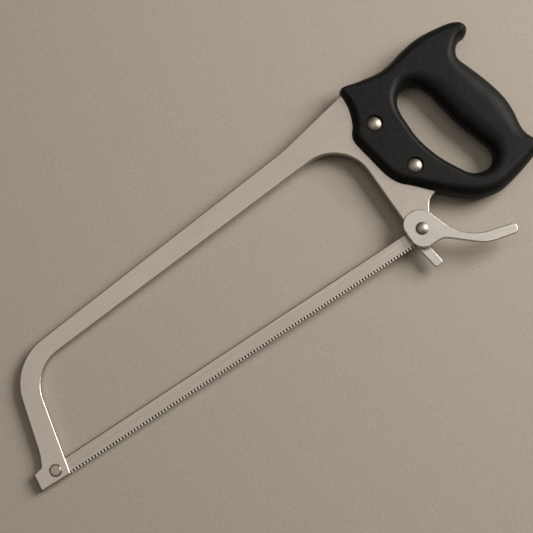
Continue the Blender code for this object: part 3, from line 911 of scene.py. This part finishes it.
@dataclass
class Blade:
    """The toothed strip and the pin riveted through its rear end."""

    bench: Bench
    thick: float = 0.8
    clip: float = 4.0
    pitch: float = 3.4
    depth: float = 2.0
    teeth: int = 117
    rake: float = 0.3
    margin: float = 4.0
    land: float = 2.7  # from a tooth's tip to where its back falls away
    relief: float = 0.24  # how far the land rises behind the tip
    set_over: float = 0.22  # each tip's lean, to alternate sides
    post_bore: float = 3.15

    @property
    def strip(self) -> Extent:
        """The box of the blade's node."""
        return self.bench.extent("saw_blade")

    @property
    def first_gullet(self) -> float:
        """Where the first gullet is along the blade."""
        return self.strip.high.x - self.margin - self.teeth * self.pitch

    def outline(self, mesh: BMesh) -> None:
        """Draws the blade's flat face: a clipped nose, straight back and toothed edge.

        Args:
            mesh: The mesh that takes the face.
        """
        start, end = self.strip.low.x, self.strip.high.x
        tip, back = self.strip.low.y, self.strip.high.y
        edge = [(start + self.clip, back), (start, back - self.clip), (start, tip + self.clip),
                (start + self.clip, tip), (self.first_gullet - self.pitch / 2, tip)]
        for i in range(self.teeth):
            gullet = self.first_gullet + i * self.pitch
            edge += [(gullet, tip + self.depth), (gullet + self.rake, tip),
                     (gullet + self.rake + self.land, tip + self.relief)]
        edge += [(end, tip), (end, back)]
        points = [mesh.verts.new((x, y, 0)) for x, y in edge]
        mesh.faces.new(points)

    def lean_teeth(self, mesh: BMesh) -> None:
        """Sets the teeth: their tips lean out to alternate sides of the strip.

        Args:
            mesh: The blade's plate.
        """
        line = self.strip.low.y + self.depth
        for i in range(self.teeth):
            gullet = self.first_gullet + i * self.pitch
            tooth = [v for v in mesh.verts if v.co.y < line - WELD
                     and gullet < v.co.x < gullet + self.pitch]
            lean = self.set_over if i % 2 else -self.set_over
            bmesh.ops.translate(mesh, verts=tooth, vec=(0, 0, lean))

    def build(self) -> None:
        """Makes the strip and its pin."""
        steel = BladeSteel("ground_carbon_steel_strip",
                           self.bench.origin.y + self.strip.low.y * MM,
                           self.bench.origin.y + self.strip.high.y * MM,
                           self.bench.origin.x + self.first_gullet * MM, self.pitch,
                           self.depth).build()
        mesh = bmesh.new()
        self.outline(mesh)
        line = self.strip.low.y + self.depth
        bmesh.ops.bisect_plane(mesh, geom=mesh.verts[:] + mesh.edges[:] + mesh.faces[:],
                               dist=WELD, plane_co=(0, line, 0), plane_no=(0, 1, 0))
        raised(mesh, -self.thick / 2, self.thick / 2)
        self.lean_teeth(mesh)
        pin = self.bench.extent("blade_pin")
        past = self.thick + OVERRUN
        body = carved(mesh, [disc(Vector((0, 0)), self.post_bore, -past, past),
                             disc(pin.centre, pin.radius + PIN_GAP, -past, past)])
        self.bench.piece("toothed_blade", body, steel, "blade", "blade_steel", "saw_blade")
        rivet = softened(disc(pin.centre, pin.radius, pin.low.z, pin.high.z), EDGE_ROUND)
        bright = PolishedSteel("turned_pin_steel").build()
        self.bench.piece("riveted_blade_pin", rivet, bright, "blade", "fastener_steel",
                         "blade_pin")


@dataclass
class BladePost:
    """The flush-headed post that holds the blade's front end, and the screw behind it."""

    bench: Bench
    chamfer: float = 0.95
    dish: float = 0.25  # the head's face is very slightly crowned
    shank: float = 3.0
    seat: float = 2.8
    bore_roof: float = 1.8
    screw_shank: float = 1.5
    screw_chamfer: float = 0.6
    slot_half: float = 0.6
    slot_depth: float = 0.8

    def build(self) -> None:
        """Makes the post and its screw."""
        steel = PolishedSteel("machined_post_steel", light="#B5ACA1", dark="#958B80",
                              roughness=0.24).build()
        post = self.bench.extent("blade_post")
        top, radius, axis = post.high.z, post.radius, Vector((0, 0))
        bore = self.screw_shank + PIN_GAP
        shoulder = self.chamfer * 0.4
        head = turned([(0, self.bore_roof), (bore, self.bore_roof), (bore, post.low.z),
                       (self.shank, post.low.z), (self.shank, self.seat), (radius, self.seat),
                       (radius, top - self.chamfer), (radius - shoulder, top - shoulder),
                       (radius - self.chamfer, top - self.dish / 2),
                       (radius / 2, top - self.dish / 8), (0, top)], axis)
        self.bench.piece("front_blade_post", softened(head, EDGE_FAINT), steel, "frame",
                         "fastener_steel", "blade_post")
        screw = self.bench.extent("blade_post_screw")
        low, under = screw.low.z, -self.seat - FIT_GAP
        cut = self.screw_chamfer
        body = turned([(0, low), (screw.radius - cut, low), (screw.radius, low + cut),
                       (screw.radius, under), (self.screw_shank, under),
                       (self.screw_shank, screw.high.z), (0, screw.high.z)], axis)
        slot = block((-screw.radius - OVERRUN, -self.slot_half, low - OVERRUN),
                     (screw.radius + OVERRUN, self.slot_half, low + self.slot_depth))
        self.bench.piece("front_post_screw", softened(carved(body, [slot]), EDGE_FAINT), steel,
                         "frame", "fastener_steel", "blade_post_screw")


@dataclass
class Handle:
    """Two moulded halves round the tang, and the two binding posts that clamp them."""

    bench: Bench
    origin: Vector
    plastic: bpy.types.Material
    bright: bpy.types.Material
    half: float = 14.0
    seam: float = 0.15
    seam_round: float = 0.45  # the rounded parting edge
    roll_steps: int = 10
    curve_steps: int = 8
    recess_radius: float = 8.25
    recess: float = 2.6
    recess_break: float = 0.4
    screw_recess: float = 3.6
    screw_recess_radius: float = 6.4
    bore: float = 3.8
    barrel: float = 3.5
    thread: float = 1.8
    thread_roof: float = 1.5
    screw_bevel: float = 0.9
    head_lip: float = 0.2
    slot_half: float = 0.6
    slot_depth: float = 1.2
    rim: tuple[Corner, ...] = (
        (18, 162, 4), (12, 159, 4), (11.3, 151, 6), (9.5, 139.5, 8), (4, 125.5, 9), (-2.5, 116.5, 9),
        (-4.5, 108, 9), (-1.5, 87, 9), (2.3, 65, 9), (8.5, 51, 9), (19.5, 39.5, 9), (38, 19, 10),
        (56.3, 2.3, 11), (70, -6.3, 11), (89, -10, 11), (111, -6.3, 11), (132, -0.5, 9),
        (143.5, 3.5, 6), (148.5, 9.5, 4.5), (144, 18, 8), (142, 30, 15), (145.5, 50, 19),
        (145.8, 68, 20), (141.5, 90, 20), (135, 111, 18), (131, 124, 13.5), (134.7, 133.3, 9),
        (142, 138.7, 8), (150, 139.8, 7), (155.6, 144.2, 6), (155.8, 150, 6), (151.5, 156, 7.5),
        (139, 160.8, 9.5), (111, 164, 10), (89, 161.5, 10), (61, 155.5, 9), (36, 158.5, 8),
    )
    hand_hole: tuple[Corner, ...] = (
        (68, 129, 12), (57, 123, 9.5), (51.3, 112, 8.5), (50, 95, 8), (50.5, 76, 8),
        (56.3, 52.5, 8), (66.3, 31.3, 8.5), (75, 19.3, 9.5), (88.5, 14.7, 10), (99.5, 20, 12),
        (103, 31, 16), (98.7, 48, 19), (92.5, 70, 20), (88.5, 94, 20), (85.7, 112, 18),
        (78.5, 125, 14),
    )

    def smooth_loop(self, controls: Sequence[Corner]) -> list[Vector]:
        """Runs a closed smooth curve through control points.

        Args:
            controls: x, y and roll of each point.

        Returns:
            Points of x, y and roll, curve_steps to a span.
        """
        knots = [Vector(control) for control in controls]
        points = []
        for i in range(len(knots)):
            a, b, c, d = (knots[(i + k) % len(knots)] for k in (-1, 0, 1, 2))
            for k in range(self.curve_steps):
                t = k / self.curve_steps
                points.append(0.5 * (2 * b + (c - a) * t + (2 * a - 5 * b + 4 * c - d) * t**2
                                     + (3 * b - a - 3 * c + d) * t**3))
        return points

    def sections(self) -> list[tuple[float, float]]:
        """Works out the rounded edge's section, from the parting line out to the flat.

        Returns:
            For each ring, its height as a share of the half, and its inset as a share of the
            roll. A negative inset share is the parting edge's own rounding in millimetres.
        """
        steps = [(self.seam / self.half, -self.seam_round),
                 ((self.seam + self.seam_round / 2) / self.half, -self.seam_round / 6),
                 ((self.seam + self.seam_round) / self.half, 0.0)]
        first = steps[-1][0]
        for i in range(1, self.roll_steps + 1):
            turn = math.pi / 2 * i / self.roll_steps
            steps.append((first + (1 - first) * math.sin(turn), 1 - math.cos(turn)))
        return steps

    def ring(self, mesh: BMesh, edge: Edge, height: float, inset: float) -> list[BMEdge]:
        """Adds one closed ring of the rounded edge.

        Args:
            mesh: The half's mesh.
            edge: Which of the handle's two edges it follows.
            height: The ring's height.
            inset: Its inset, as sections() gives it.

        Returns:
            The ring's edges.
        """
        controls = self.rim if edge is Edge.RIM else self.hand_hole
        loop = self.smooth_loop(shifted(controls, self.origin))
        flat = [Vector((p.x, p.y)) for p in loop]
        area = sum(a.cross(b) for a, b in zip(flat, flat[1:] + flat[:1]))
        facing = math.copysign(1, area) * edge.value
        verts = bmesh.ops.create_circle(mesh, segments=len(flat), radius=1)["verts"]
        for i, vert in enumerate(verts):
            along = (flat[(i + 1) % len(flat)] - flat[i - 1]).normalized()
            reach = loop[i].z * inset if inset >= 0 else -inset
            place = flat[i] + facing * reach * Vector((-along.y, along.x))
            vert.co = (place.x, place.y, height)
        return list({e for v in verts for e in v.link_edges})

    def half_shell(self, side: Side) -> BMesh:
        """Makes one moulded half, without its pocket and holes.

        Args:
            side: Which half.

        Returns:
            The half.
        """
        mesh = bmesh.new()
        first_rings: list[BMEdge] = []
        last_rings: list[BMEdge] = []
        for edge in Edge:
            rings = [self.ring(mesh, edge, side.value * self.half * share, inset)
                     for share, inset in self.sections()]
            for lower, upper in zip(rings, rings[1:]):
                bmesh.ops.bridge_loops(mesh, edges=lower + upper)
            first_rings += rings[0]
            last_rings += rings[-1]
        for rings in (first_rings, last_rings):
            bmesh.ops.triangle_fill(mesh, use_beauty=True, edges=rings)
        bmesh.ops.recalc_face_normals(mesh, faces=mesh.faces)
        return mesh

    def bore_cutter(self, which: str) -> BMesh:
        """The stepped hole for one fastening, through both halves and the tang.

        Args:
            which: front or rear.

        Returns:
            The cutter.
        """
        near, far = self.half - self.recess, self.half - self.screw_recess
        past, rim = self.half + OVERRUN, self.recess_break
        flare = OVERRUN + rim
        wide, wider = self.screw_recess_radius, self.recess_radius
        centre = self.bench.extent(f"handle_post_{which}").centre
        return turned([(0, -past), (wide + flare, -past), (wide, -self.half + rim),
                       (wide, -far), (self.bore, -far), (self.bore, near), (wider, near),
                       (wider, self.half - rim), (wider + flare, past), (0, past)], centre)

    def fastening(self, which: str) -> None:
        """Makes one domed binding post and the slotted screw that meets it.

        Args:
            which: front or rear.
        """
        post = self.bench.extent(f"handle_post_{which}")
        screw = self.bench.extent(f"handle_screw_{which}")
        seat = self.half - self.recess + FIT_GAP
        thread, roof = self.thread, self.thread_roof
        bore = thread + PIN_GAP
        head = dome(post.radius, seat, post.high.z - seat, self.head_lip)
        body = turned([(0, roof), (bore, roof), (bore, post.low.z), (self.barrel, post.low.z),
                       (self.barrel, seat), *head], post.centre)
        self.bench.piece(f"binding_post_{which}", softened(body, EDGE_ROUND), self.bright, "frame",
                         "fastener_steel", f"handle_post_{which}")
        low, under = screw.low.z, -(self.half - self.screw_recess + FIT_GAP)
        bevel = self.screw_bevel
        shank = turned([(0, low), (screw.radius - bevel, low),
                        (screw.radius - bevel / 3, low + bevel / 3),
                        (screw.radius, low + bevel), (screw.radius, under), (thread, under),
                        (thread, screw.high.z), (0, screw.high.z)], screw.centre)
        across = screw.radius + OVERRUN
        slot = block((screw.centre.x - across, screw.centre.y - self.slot_half, low - OVERRUN),
                     (screw.centre.x + across, screw.centre.y + self.slot_half,
                      low + self.slot_depth))
        self.bench.piece(f"binding_screw_{which}", softened(carved(shank, [slot]), EDGE_LIGHT),
                         self.bright, "frame", "fastener_steel", f"handle_screw_{which}")

    def build(self, bow: BowFrame) -> None:
        """Makes both halves and both fastenings.

        Args:
            bow: The frame whose tang the halves enclose.
        """
        for side in Side:
            word = side.name.lower()
            cuts = [bow.tang_cutter(), self.bore_cutter("front"), self.bore_cutter("rear")]
            shell = carved(self.half_shell(side), cuts)
            self.bench.piece(f"moulded_{word}_half", shell, self.plastic, "frame",
                             "handle_plastic", f"handle_{word}_half")
        for which in ("front", "rear"):
            self.fastening(which)


@dataclass
class Tensioner:
    """The cam lever, its bolt and what holds it, and the hook that it pulls."""

    bench: Bench
    pivot: Vector
    steel: bpy.types.Material
    bright: bpy.types.Material
    edge: float = 0.95
    bolt: float = 2.75
    bolt_hole: float = 2.9
    head_lip: float = 0.22
    stop_reach: float = 12.5
    groove_half: float = 1.55
    groove_depth: float = 2.0
    swing: float = math.radians(120)
    hook_edge: float = 0.7
    hook_wall: float = 3.35
    run_gap: float = 0.25
    kerf_half: float = 0.7
    travel: float = 2.12  # how far the open lever lets the hook forward
    claw_rise: float = 2.0  # the claw's top above the blade pin's axis
    claw_foot: float = 3.6  # steel below the jaw's floor
    tab_end: tuple[float, float] = (-4.0, -37.9)  # from the pivot
    tab_width: float = 9.4
    tab_lean: float = math.radians(8.2)
    tab_round: float = 3.2
    dished_wall: float = 0.7
    groove_steps: int = 40
    nut_hexagon: float = 2.4
    nut_near_chamfer: float = 0.9
    nut_far_chamfer: float = 0.4
    nut_cone: tuple[float, float] = (2.0, 1.0)  # how far its cutter goes past the near face
    nut_cap_radius: float = 4.4
    nut_cap_foot: float = 1.2  # how far the cap starts inside the hexagon
    nut_cap_lip: float = 0.3

    def lever_corners(self) -> list[Corner]:
        """Lists the lever's corners.

        Returns:
            The round hub and the curved arm that a finger pulls.
        """
        hub = [(-15.4, -18.6, 18.3), (-15.4, 19.6, 18.5), (12.4, 19.6, 17)]
        arm = [(28.4, -30.9, 54), (79.3, -44.9, 4.5), (77, -54.8, 5), (44.5, -46.8, 40),
               (12.7, -18.6, 14)]
        return shifted(hub + arm, self.pivot)

    def groove(self, low: float, high: float) -> BMesh:
        """The arc under the hub that the stop pin travels along.

        Args:
            low: The height of the cutter's underside.
            high: The groove's roof.

        Returns:
            The cutter.
        """
        mesh = bmesh.new()
        near, far = self.stop_reach - self.groove_half, self.stop_reach + self.groove_half
        ends = [mesh.verts.new((0, reach, 0)) for reach in (near, far)]
        mesh.edges.new(ends)
        bmesh.ops.spin(mesh, geom=mesh.verts[:] + mesh.edges[:], cent=(0, 0, 0), axis=(0, 0, 1),
                       angle=self.swing, steps=self.groove_steps)
        raised(mesh, low, high)
        bmesh.ops.translate(mesh, verts=mesh.verts, vec=(self.pivot.x, self.pivot.y, 0))
        starts = [Vector((0, self.stop_reach)),
                  self.stop_reach * Vector((-math.sin(self.swing), math.cos(self.swing)))]
        round_ends = [disc(self.pivot + start, self.groove_half, low, high) for start in starts]
        return carved(mesh, round_ends, "UNION")

    def lever(self) -> None:
        """Makes the lever."""
        extent = self.bench.extent("tension_lever")
        low, high = extent.low.z, extent.high.z
        cuts = [disc(self.pivot, self.bolt_hole, low - OVERRUN, high + OVERRUN),
                self.groove(low - OVERRUN, low + self.groove_depth)]
        body = carved(plate(self.lever_corners(), low, high, self.edge), cuts)
        self.bench.piece("cam_lever", body, self.steel, "lever", "lever_steel", "tension_lever")

    def ring(self, name: str, node: str, hole: float, width: float,
             finish: bpy.types.Material) -> None:
        """Makes a flat ring or a disc that fills a node's box.

        Args:
            name: The piece's name.
            node: The node it stands for.
            hole: The radius of its hole.
            width: The rounding of its edges.
            finish: Its material.
        """
        box = self.bench.extent(node)
        body = turned([(hole, box.low.z), (box.radius, box.low.z), (box.radius, box.high.z),
                       (hole, box.high.z)], box.centre)
        self.bench.piece(name, softened(body, width), finish, "lever", "fastener_steel", node)

    def spring_washer(self) -> None:
        """Makes the dished spring washer."""
        box = self.bench.extent("spring_washer")
        hole, wall = self.bolt_hole + FIT_GAP, self.dished_wall
        low, high = box.low.z, box.high.z
        body = turned([(hole, high), (hole, high - wall), (box.radius, low),
                       (box.radius, low + wall)], box.centre)
        self.bench.piece("dished_spring_washer", softened(body, EDGE_FAINT), self.bright,
                         "lever", "fastener_steel", "spring_washer")

    def bolt_and_nut(self) -> None:
        """Makes the domed bolt and its nut."""
        head = self.bench.extent("pivot_bolt")
        under = self.bench.extent("tension_lever").high.z + FIT_GAP
        crown = dome(head.radius, under, head.high.z - under, self.head_lip)
        body = turned([(0, head.low.z), (self.bolt, head.low.z), (self.bolt, under), *crown],
                      self.pivot)
        self.bench.piece("domed_pivot_bolt", softened(body, EDGE_ROUND), self.bright, "lever",
                         "fastener_steel", "pivot_bolt")
        self.nut(head.low.z)

    def nut(self, bolt_end: float) -> None:
        """Makes the hexagonal cap nut.

        Args:
            bolt_end: The height of the bolt's end, which the nut's bore clears.
        """
        nut = self.bench.extent("pivot_nut")
        base = nut.high.z - self.nut_hexagon
        mesh = bmesh.new()
        ring = bmesh.ops.create_circle(mesh, segments=6, radius=nut.radius, cap_ends=True)
        bmesh.ops.translate(mesh, verts=ring["verts"], vec=(self.pivot.x, self.pivot.y, 0))
        raised(mesh, base, nut.high.z)
        clear, crown, face = nut.radius + 0.1, nut.radius * 0.9, nut.radius * 0.93
        out, past = self.nut_cone
        chamfers = turned([(0, base - past), (nut.radius + out, base - past), (crown, base),
                           (clear, base + self.nut_near_chamfer),
                           (clear, nut.high.z - self.nut_far_chamfer), (face, nut.high.z),
                           (0, nut.high.z)], self.pivot)
        crowned = carved(mesh, [chamfers], "INTERSECT")
        foot = base + self.nut_cap_foot
        cap = turned([(0, foot), *dome(self.nut_cap_radius, foot, nut.low.z - foot,
                                       self.nut_cap_lip)], self.pivot)
        body = carved(crowned, [cap], "UNION")
        bore = disc(self.pivot, self.bolt_hole, bolt_end - PIN_GAP, nut.high.z + OVERRUN)
        self.bench.piece("hexagon_cap_nut", carved(body, [bore]), self.bright, "lever",
                         "fastener_steel", "pivot_nut")

    def hook(self, blade: Blade) -> None:
        """Makes the hook: a ring round the cam, a jaw for the blade's pin, and a finger tab.

        Args:
            blade: The blade whose pin the jaw holds.
        """
        box = self.bench.extent("blade_hook")
        cam = self.bench.extent("tension_cam")
        pin = self.bench.extent("blade_pin")
        ring = cam.radius + self.run_gap + self.hook_wall
        claw_back = pin.low.x - FIT_GAP
        claw_front = box.low.x
        jaw_back = pin.high.x + self.travel + FIT_GAP
        floor = pin.low.y - FIT_GAP
        foot = floor - self.claw_foot
        end = self.pivot + Vector(self.tab_end)
        down = Vector((math.sin(self.tab_lean), -math.cos(self.tab_lean)))
        across = Vector((-down.y, down.x)) * self.tab_width / 2
        right, left = end + across, end - across
        slope = down.x / down.y
        ring_foot = cam.centre.y - ring
        claw_top = pin.centre.y + self.claw_rise
        tab = self.tab_round
        corners = [
            (claw_front, claw_top, 0.8), (claw_back, claw_top, 0.5),
            (claw_back, floor, 0.6), (jaw_back, floor, 1), (jaw_back, cam.centre.y + ring, ring),
            (cam.centre.x + ring, cam.centre.y + ring, ring),
            (cam.centre.x + ring, ring_foot, ring),
            (right.x + slope * (ring_foot - right.y), ring_foot, 2), (right.x, right.y, tab),
            (left.x, left.y, tab), (left.x + slope * (foot - left.y), foot, 2),
            (claw_front, foot, 2),
        ]
        low, high = box.low.z, box.high.z
        kerf = block((claw_front - OVERRUN, -FAR_PAST, -self.kerf_half),
                     (blade.strip.high.x + self.travel + FIT_GAP, FAR_PAST, self.kerf_half))
        bore = disc(cam.centre, cam.radius + self.run_gap, low - OVERRUN, high + OVERRUN)
        body = carved(plate(corners, low, high, self.hook_edge, 4), [kerf, bore])
        self.bench.piece("blade_pull_hook", body, self.steel, "hook", "lever_steel",
                         "blade_hook")

    def cam(self) -> None:
        """Makes the cam, an eccentric disc with a round bore for the bolt."""
        box = self.bench.extent("tension_cam")
        blank = disc(box.centre, box.radius, box.low.z, box.high.z)
        bore = disc(self.pivot, self.bolt_hole, box.low.z - OVERRUN, box.high.z + OVERRUN)
        body = carved(softened(blank, EDGE_SOFT), [bore])
        self.bench.piece("eccentric_cam", body, self.bright, "lever", "lever_steel",
                         "tension_cam")

    def stop_pin(self) -> None:
        """Makes the pin in the web that ends the lever's swing."""
        box = self.bench.extent("lever_stop_pin")
        body = softened(disc(box.centre, box.radius, box.low.z, box.high.z), EDGE_SOFT)
        self.bench.piece("pressed_stop_pin", body, self.bright, "frame", "fastener_steel",
                         "lever_stop_pin")

    def build(self, blade: Blade) -> None:
        """Makes every piece.

        Args:
            blade: The blade that the hook pulls.
        """
        self.lever()
        self.ring("steel_thrust_washer", "thrust_washer", self.bolt_hole, EDGE_LIGHT,
                  self.steel)
        self.ring("flat_pivot_washer", "pivot_washer", self.bolt_hole, EDGE_SOFT,
                  self.bright)
        self.spring_washer()
        self.bolt_and_nut()
        self.cam()
        self.hook(blade)
        self.stop_pin()


# ---- the studio -----------------------------------------------------------------------------

@dataclass(frozen=True)
class SoftBox:
    """A rectangular lamp with a diffuser."""

    name: str
    place: tuple[float, float, float]  # right, up and towards the camera, in metres
    size: tuple[float, float]
    power: float
    colour: str = "#FFFBF6"


@dataclass
class Studio:
    """A plain floor, soft light from the upper right, and the camera."""

    bench: Bench
    lens: float = 100.0
    sensor: float = 36.0
    distance: float = 1434.69
    aim: tuple[float, float] = (273.854, 53.906)
    tilt: float = math.radians(12.0)
    roll: float = math.radians(33.6547)
    floor_colour: str = "#ADA599"
    floor_fleck: str = "#BDB4A8"
    floor_gap: float = 0.08  # under what rests on it
    floor_half: float = 4000.0
    handle_inset: float = 9.0  # from the handle's front to where its flat starts
    sky: str = "#BCA983"
    sky_strength: float = 0.085
    lamps: tuple[SoftBox, ...] = (
        SoftBox("key_lamp", (1.62, 1.16, 1.14), (1.4, 1.4), 55.0),
        SoftBox("top_lamp", (-0.22, 0.58, 1.75), (1.9, 1.8), 7.2),
    )

    def axes(self) -> tuple[Vector, Vector, Vector]:
        """Works out the camera's own axes.

        Returns:
            Its right, up and backward directions in the frame.
        """
        right = Vector((math.cos(self.roll), -math.sin(self.roll), 0))
        level = Vector((math.sin(self.roll), math.cos(self.roll), 0))
        back = Vector((0, 0, math.cos(self.tilt))) - level * math.sin(self.tilt)
        return right, back.cross(right), back

    def target(self) -> Vector:
        """The point that the camera looks at, in the frame's metres."""
        return self.bench.origin + Vector((*self.aim, 0)) * MM

    def camera(self) -> None:
        """Sets up the camera."""
        right, up, back = self.axes()
        data = bpy.data.cameras.new("studio_camera")
        data.lens, data.sensor_width = self.lens, self.sensor
        made = placed("studio_camera", data)
        turn = Matrix((right, up, back)).transposed().to_4x4()
        made.matrix_world = Matrix.Translation(self.target() + back * self.distance * MM) @ turn
        bpy.context.scene.camera = made

    def light(self) -> None:
        """Hangs the lamps and sets the room's own light."""
        right, up, back = self.axes()
        for lamp in self.lamps:
            data = bpy.data.lights.new(lamp.name, "AREA")
            data.shape = "RECTANGLE"
            data.size, data.size_y = lamp.size
            data.energy = lamp.power
            data.color = linear(lamp.colour)[:3]
            made = placed(lamp.name, data)
            across, rise, near = lamp.place
            made.location = self.target() + right * across + up * rise + back * near
            made.rotation_euler = (made.location - self.target()).to_track_quat("Z", "Y").to_euler()
        world = bpy.data.worlds.new("studio_room")
        world.use_nodes = True
        room = world.node_tree.nodes["Background"]
        room.inputs[0].default_value = linear(self.sky)
        room.inputs[1].default_value = self.sky_strength
        bpy.context.scene.world = world
        bpy.context.scene.view_settings.view_transform = "Standard"

    def floor(self) -> None:
        """Lays the floor under the saw, which rests on its handle and its toe."""
        toe = self.bench.extent("blade_post_screw")
        handle = self.bench.extent("handle_far_half")
        rest = Vector((handle.low.x + self.handle_inset, 0, handle.low.z - self.floor_gap))
        prop = Vector((toe.high.x, 0, toe.low.z - self.floor_gap))
        slope = math.atan2(prop.z - rest.z, rest.x - prop.x)
        mesh = bmesh.new()
        bmesh.ops.create_grid(mesh, x_segments=2, y_segments=2, size=self.floor_half)
        bmesh.ops.rotate(mesh, verts=mesh.verts, matrix=Matrix.Rotation(slope, 3, "Y"))
        bmesh.ops.translate(mesh, verts=mesh.verts, vec=rest)
        data = self.bench.stored("studio_floor", mesh)
        made, tree, shader = new_material("matte_painted_board")
        speck = stretched_noise(tree, (1.3, 1.3, 1.3), 0.0, 2.0)
        tone = ranged(tree, speck, NOISE_SPAN, (0.0, 1.0))
        tree.links.new(blended(tree, tone, self.floor_colour, self.floor_fleck),
                       shader.inputs["Base Color"])
        shader.inputs["Roughness"].default_value = 0.9
        shader.inputs["Specular IOR Level"].default_value = 0.1
        data.materials.append(made)
        floor = placed("studio_floor", data)

    def build(self) -> None:
        """Sets up the floor, the lamps and the camera."""
        self.floor()
        self.light()
        self.camera()


def main() -> None:
    """Builds the saw's pieces on the frame, then the studio round them."""
    logging.basicConfig(level=logging.INFO, format="%(name)s: %(message)s")
    bench = Bench.set_up()
    centre = bench.extent("pivot_bolt").centre
    pivot = Vector((centre.x, centre.y))
    satin = BrushedSteel("satin_brushed_stainless").build()
    # painted light: a lighter copy of the frame's brushed steel, standing in for the brighter light
    # on the lever, its hook and thrust washer
    lit_lever_satin = BrushedSteel("satin_stainless_painted_lighter", light="#DED9D2", dark="#CAC5BD",
                               angle=math.radians(-20)).build()
    bright = PolishedSteel("polished_stainless").build()
    plastic = GrainedPolypropylene().build()

    bow = BowFrame(bench, pivot, satin)
    handle = Handle(bench, Vector((pivot.x, 0)), plastic, bright)
    bow.build([handle.bore_cutter("front"), handle.bore_cutter("rear")])
    handle.build(bow)
    blade = Blade(bench)
    blade.build()
    BladePost(bench).build()
    Tensioner(bench, pivot, lit_lever_satin, bright).build(blade)
    Studio(bench).build()


if __name__ == "__main__":
    main()
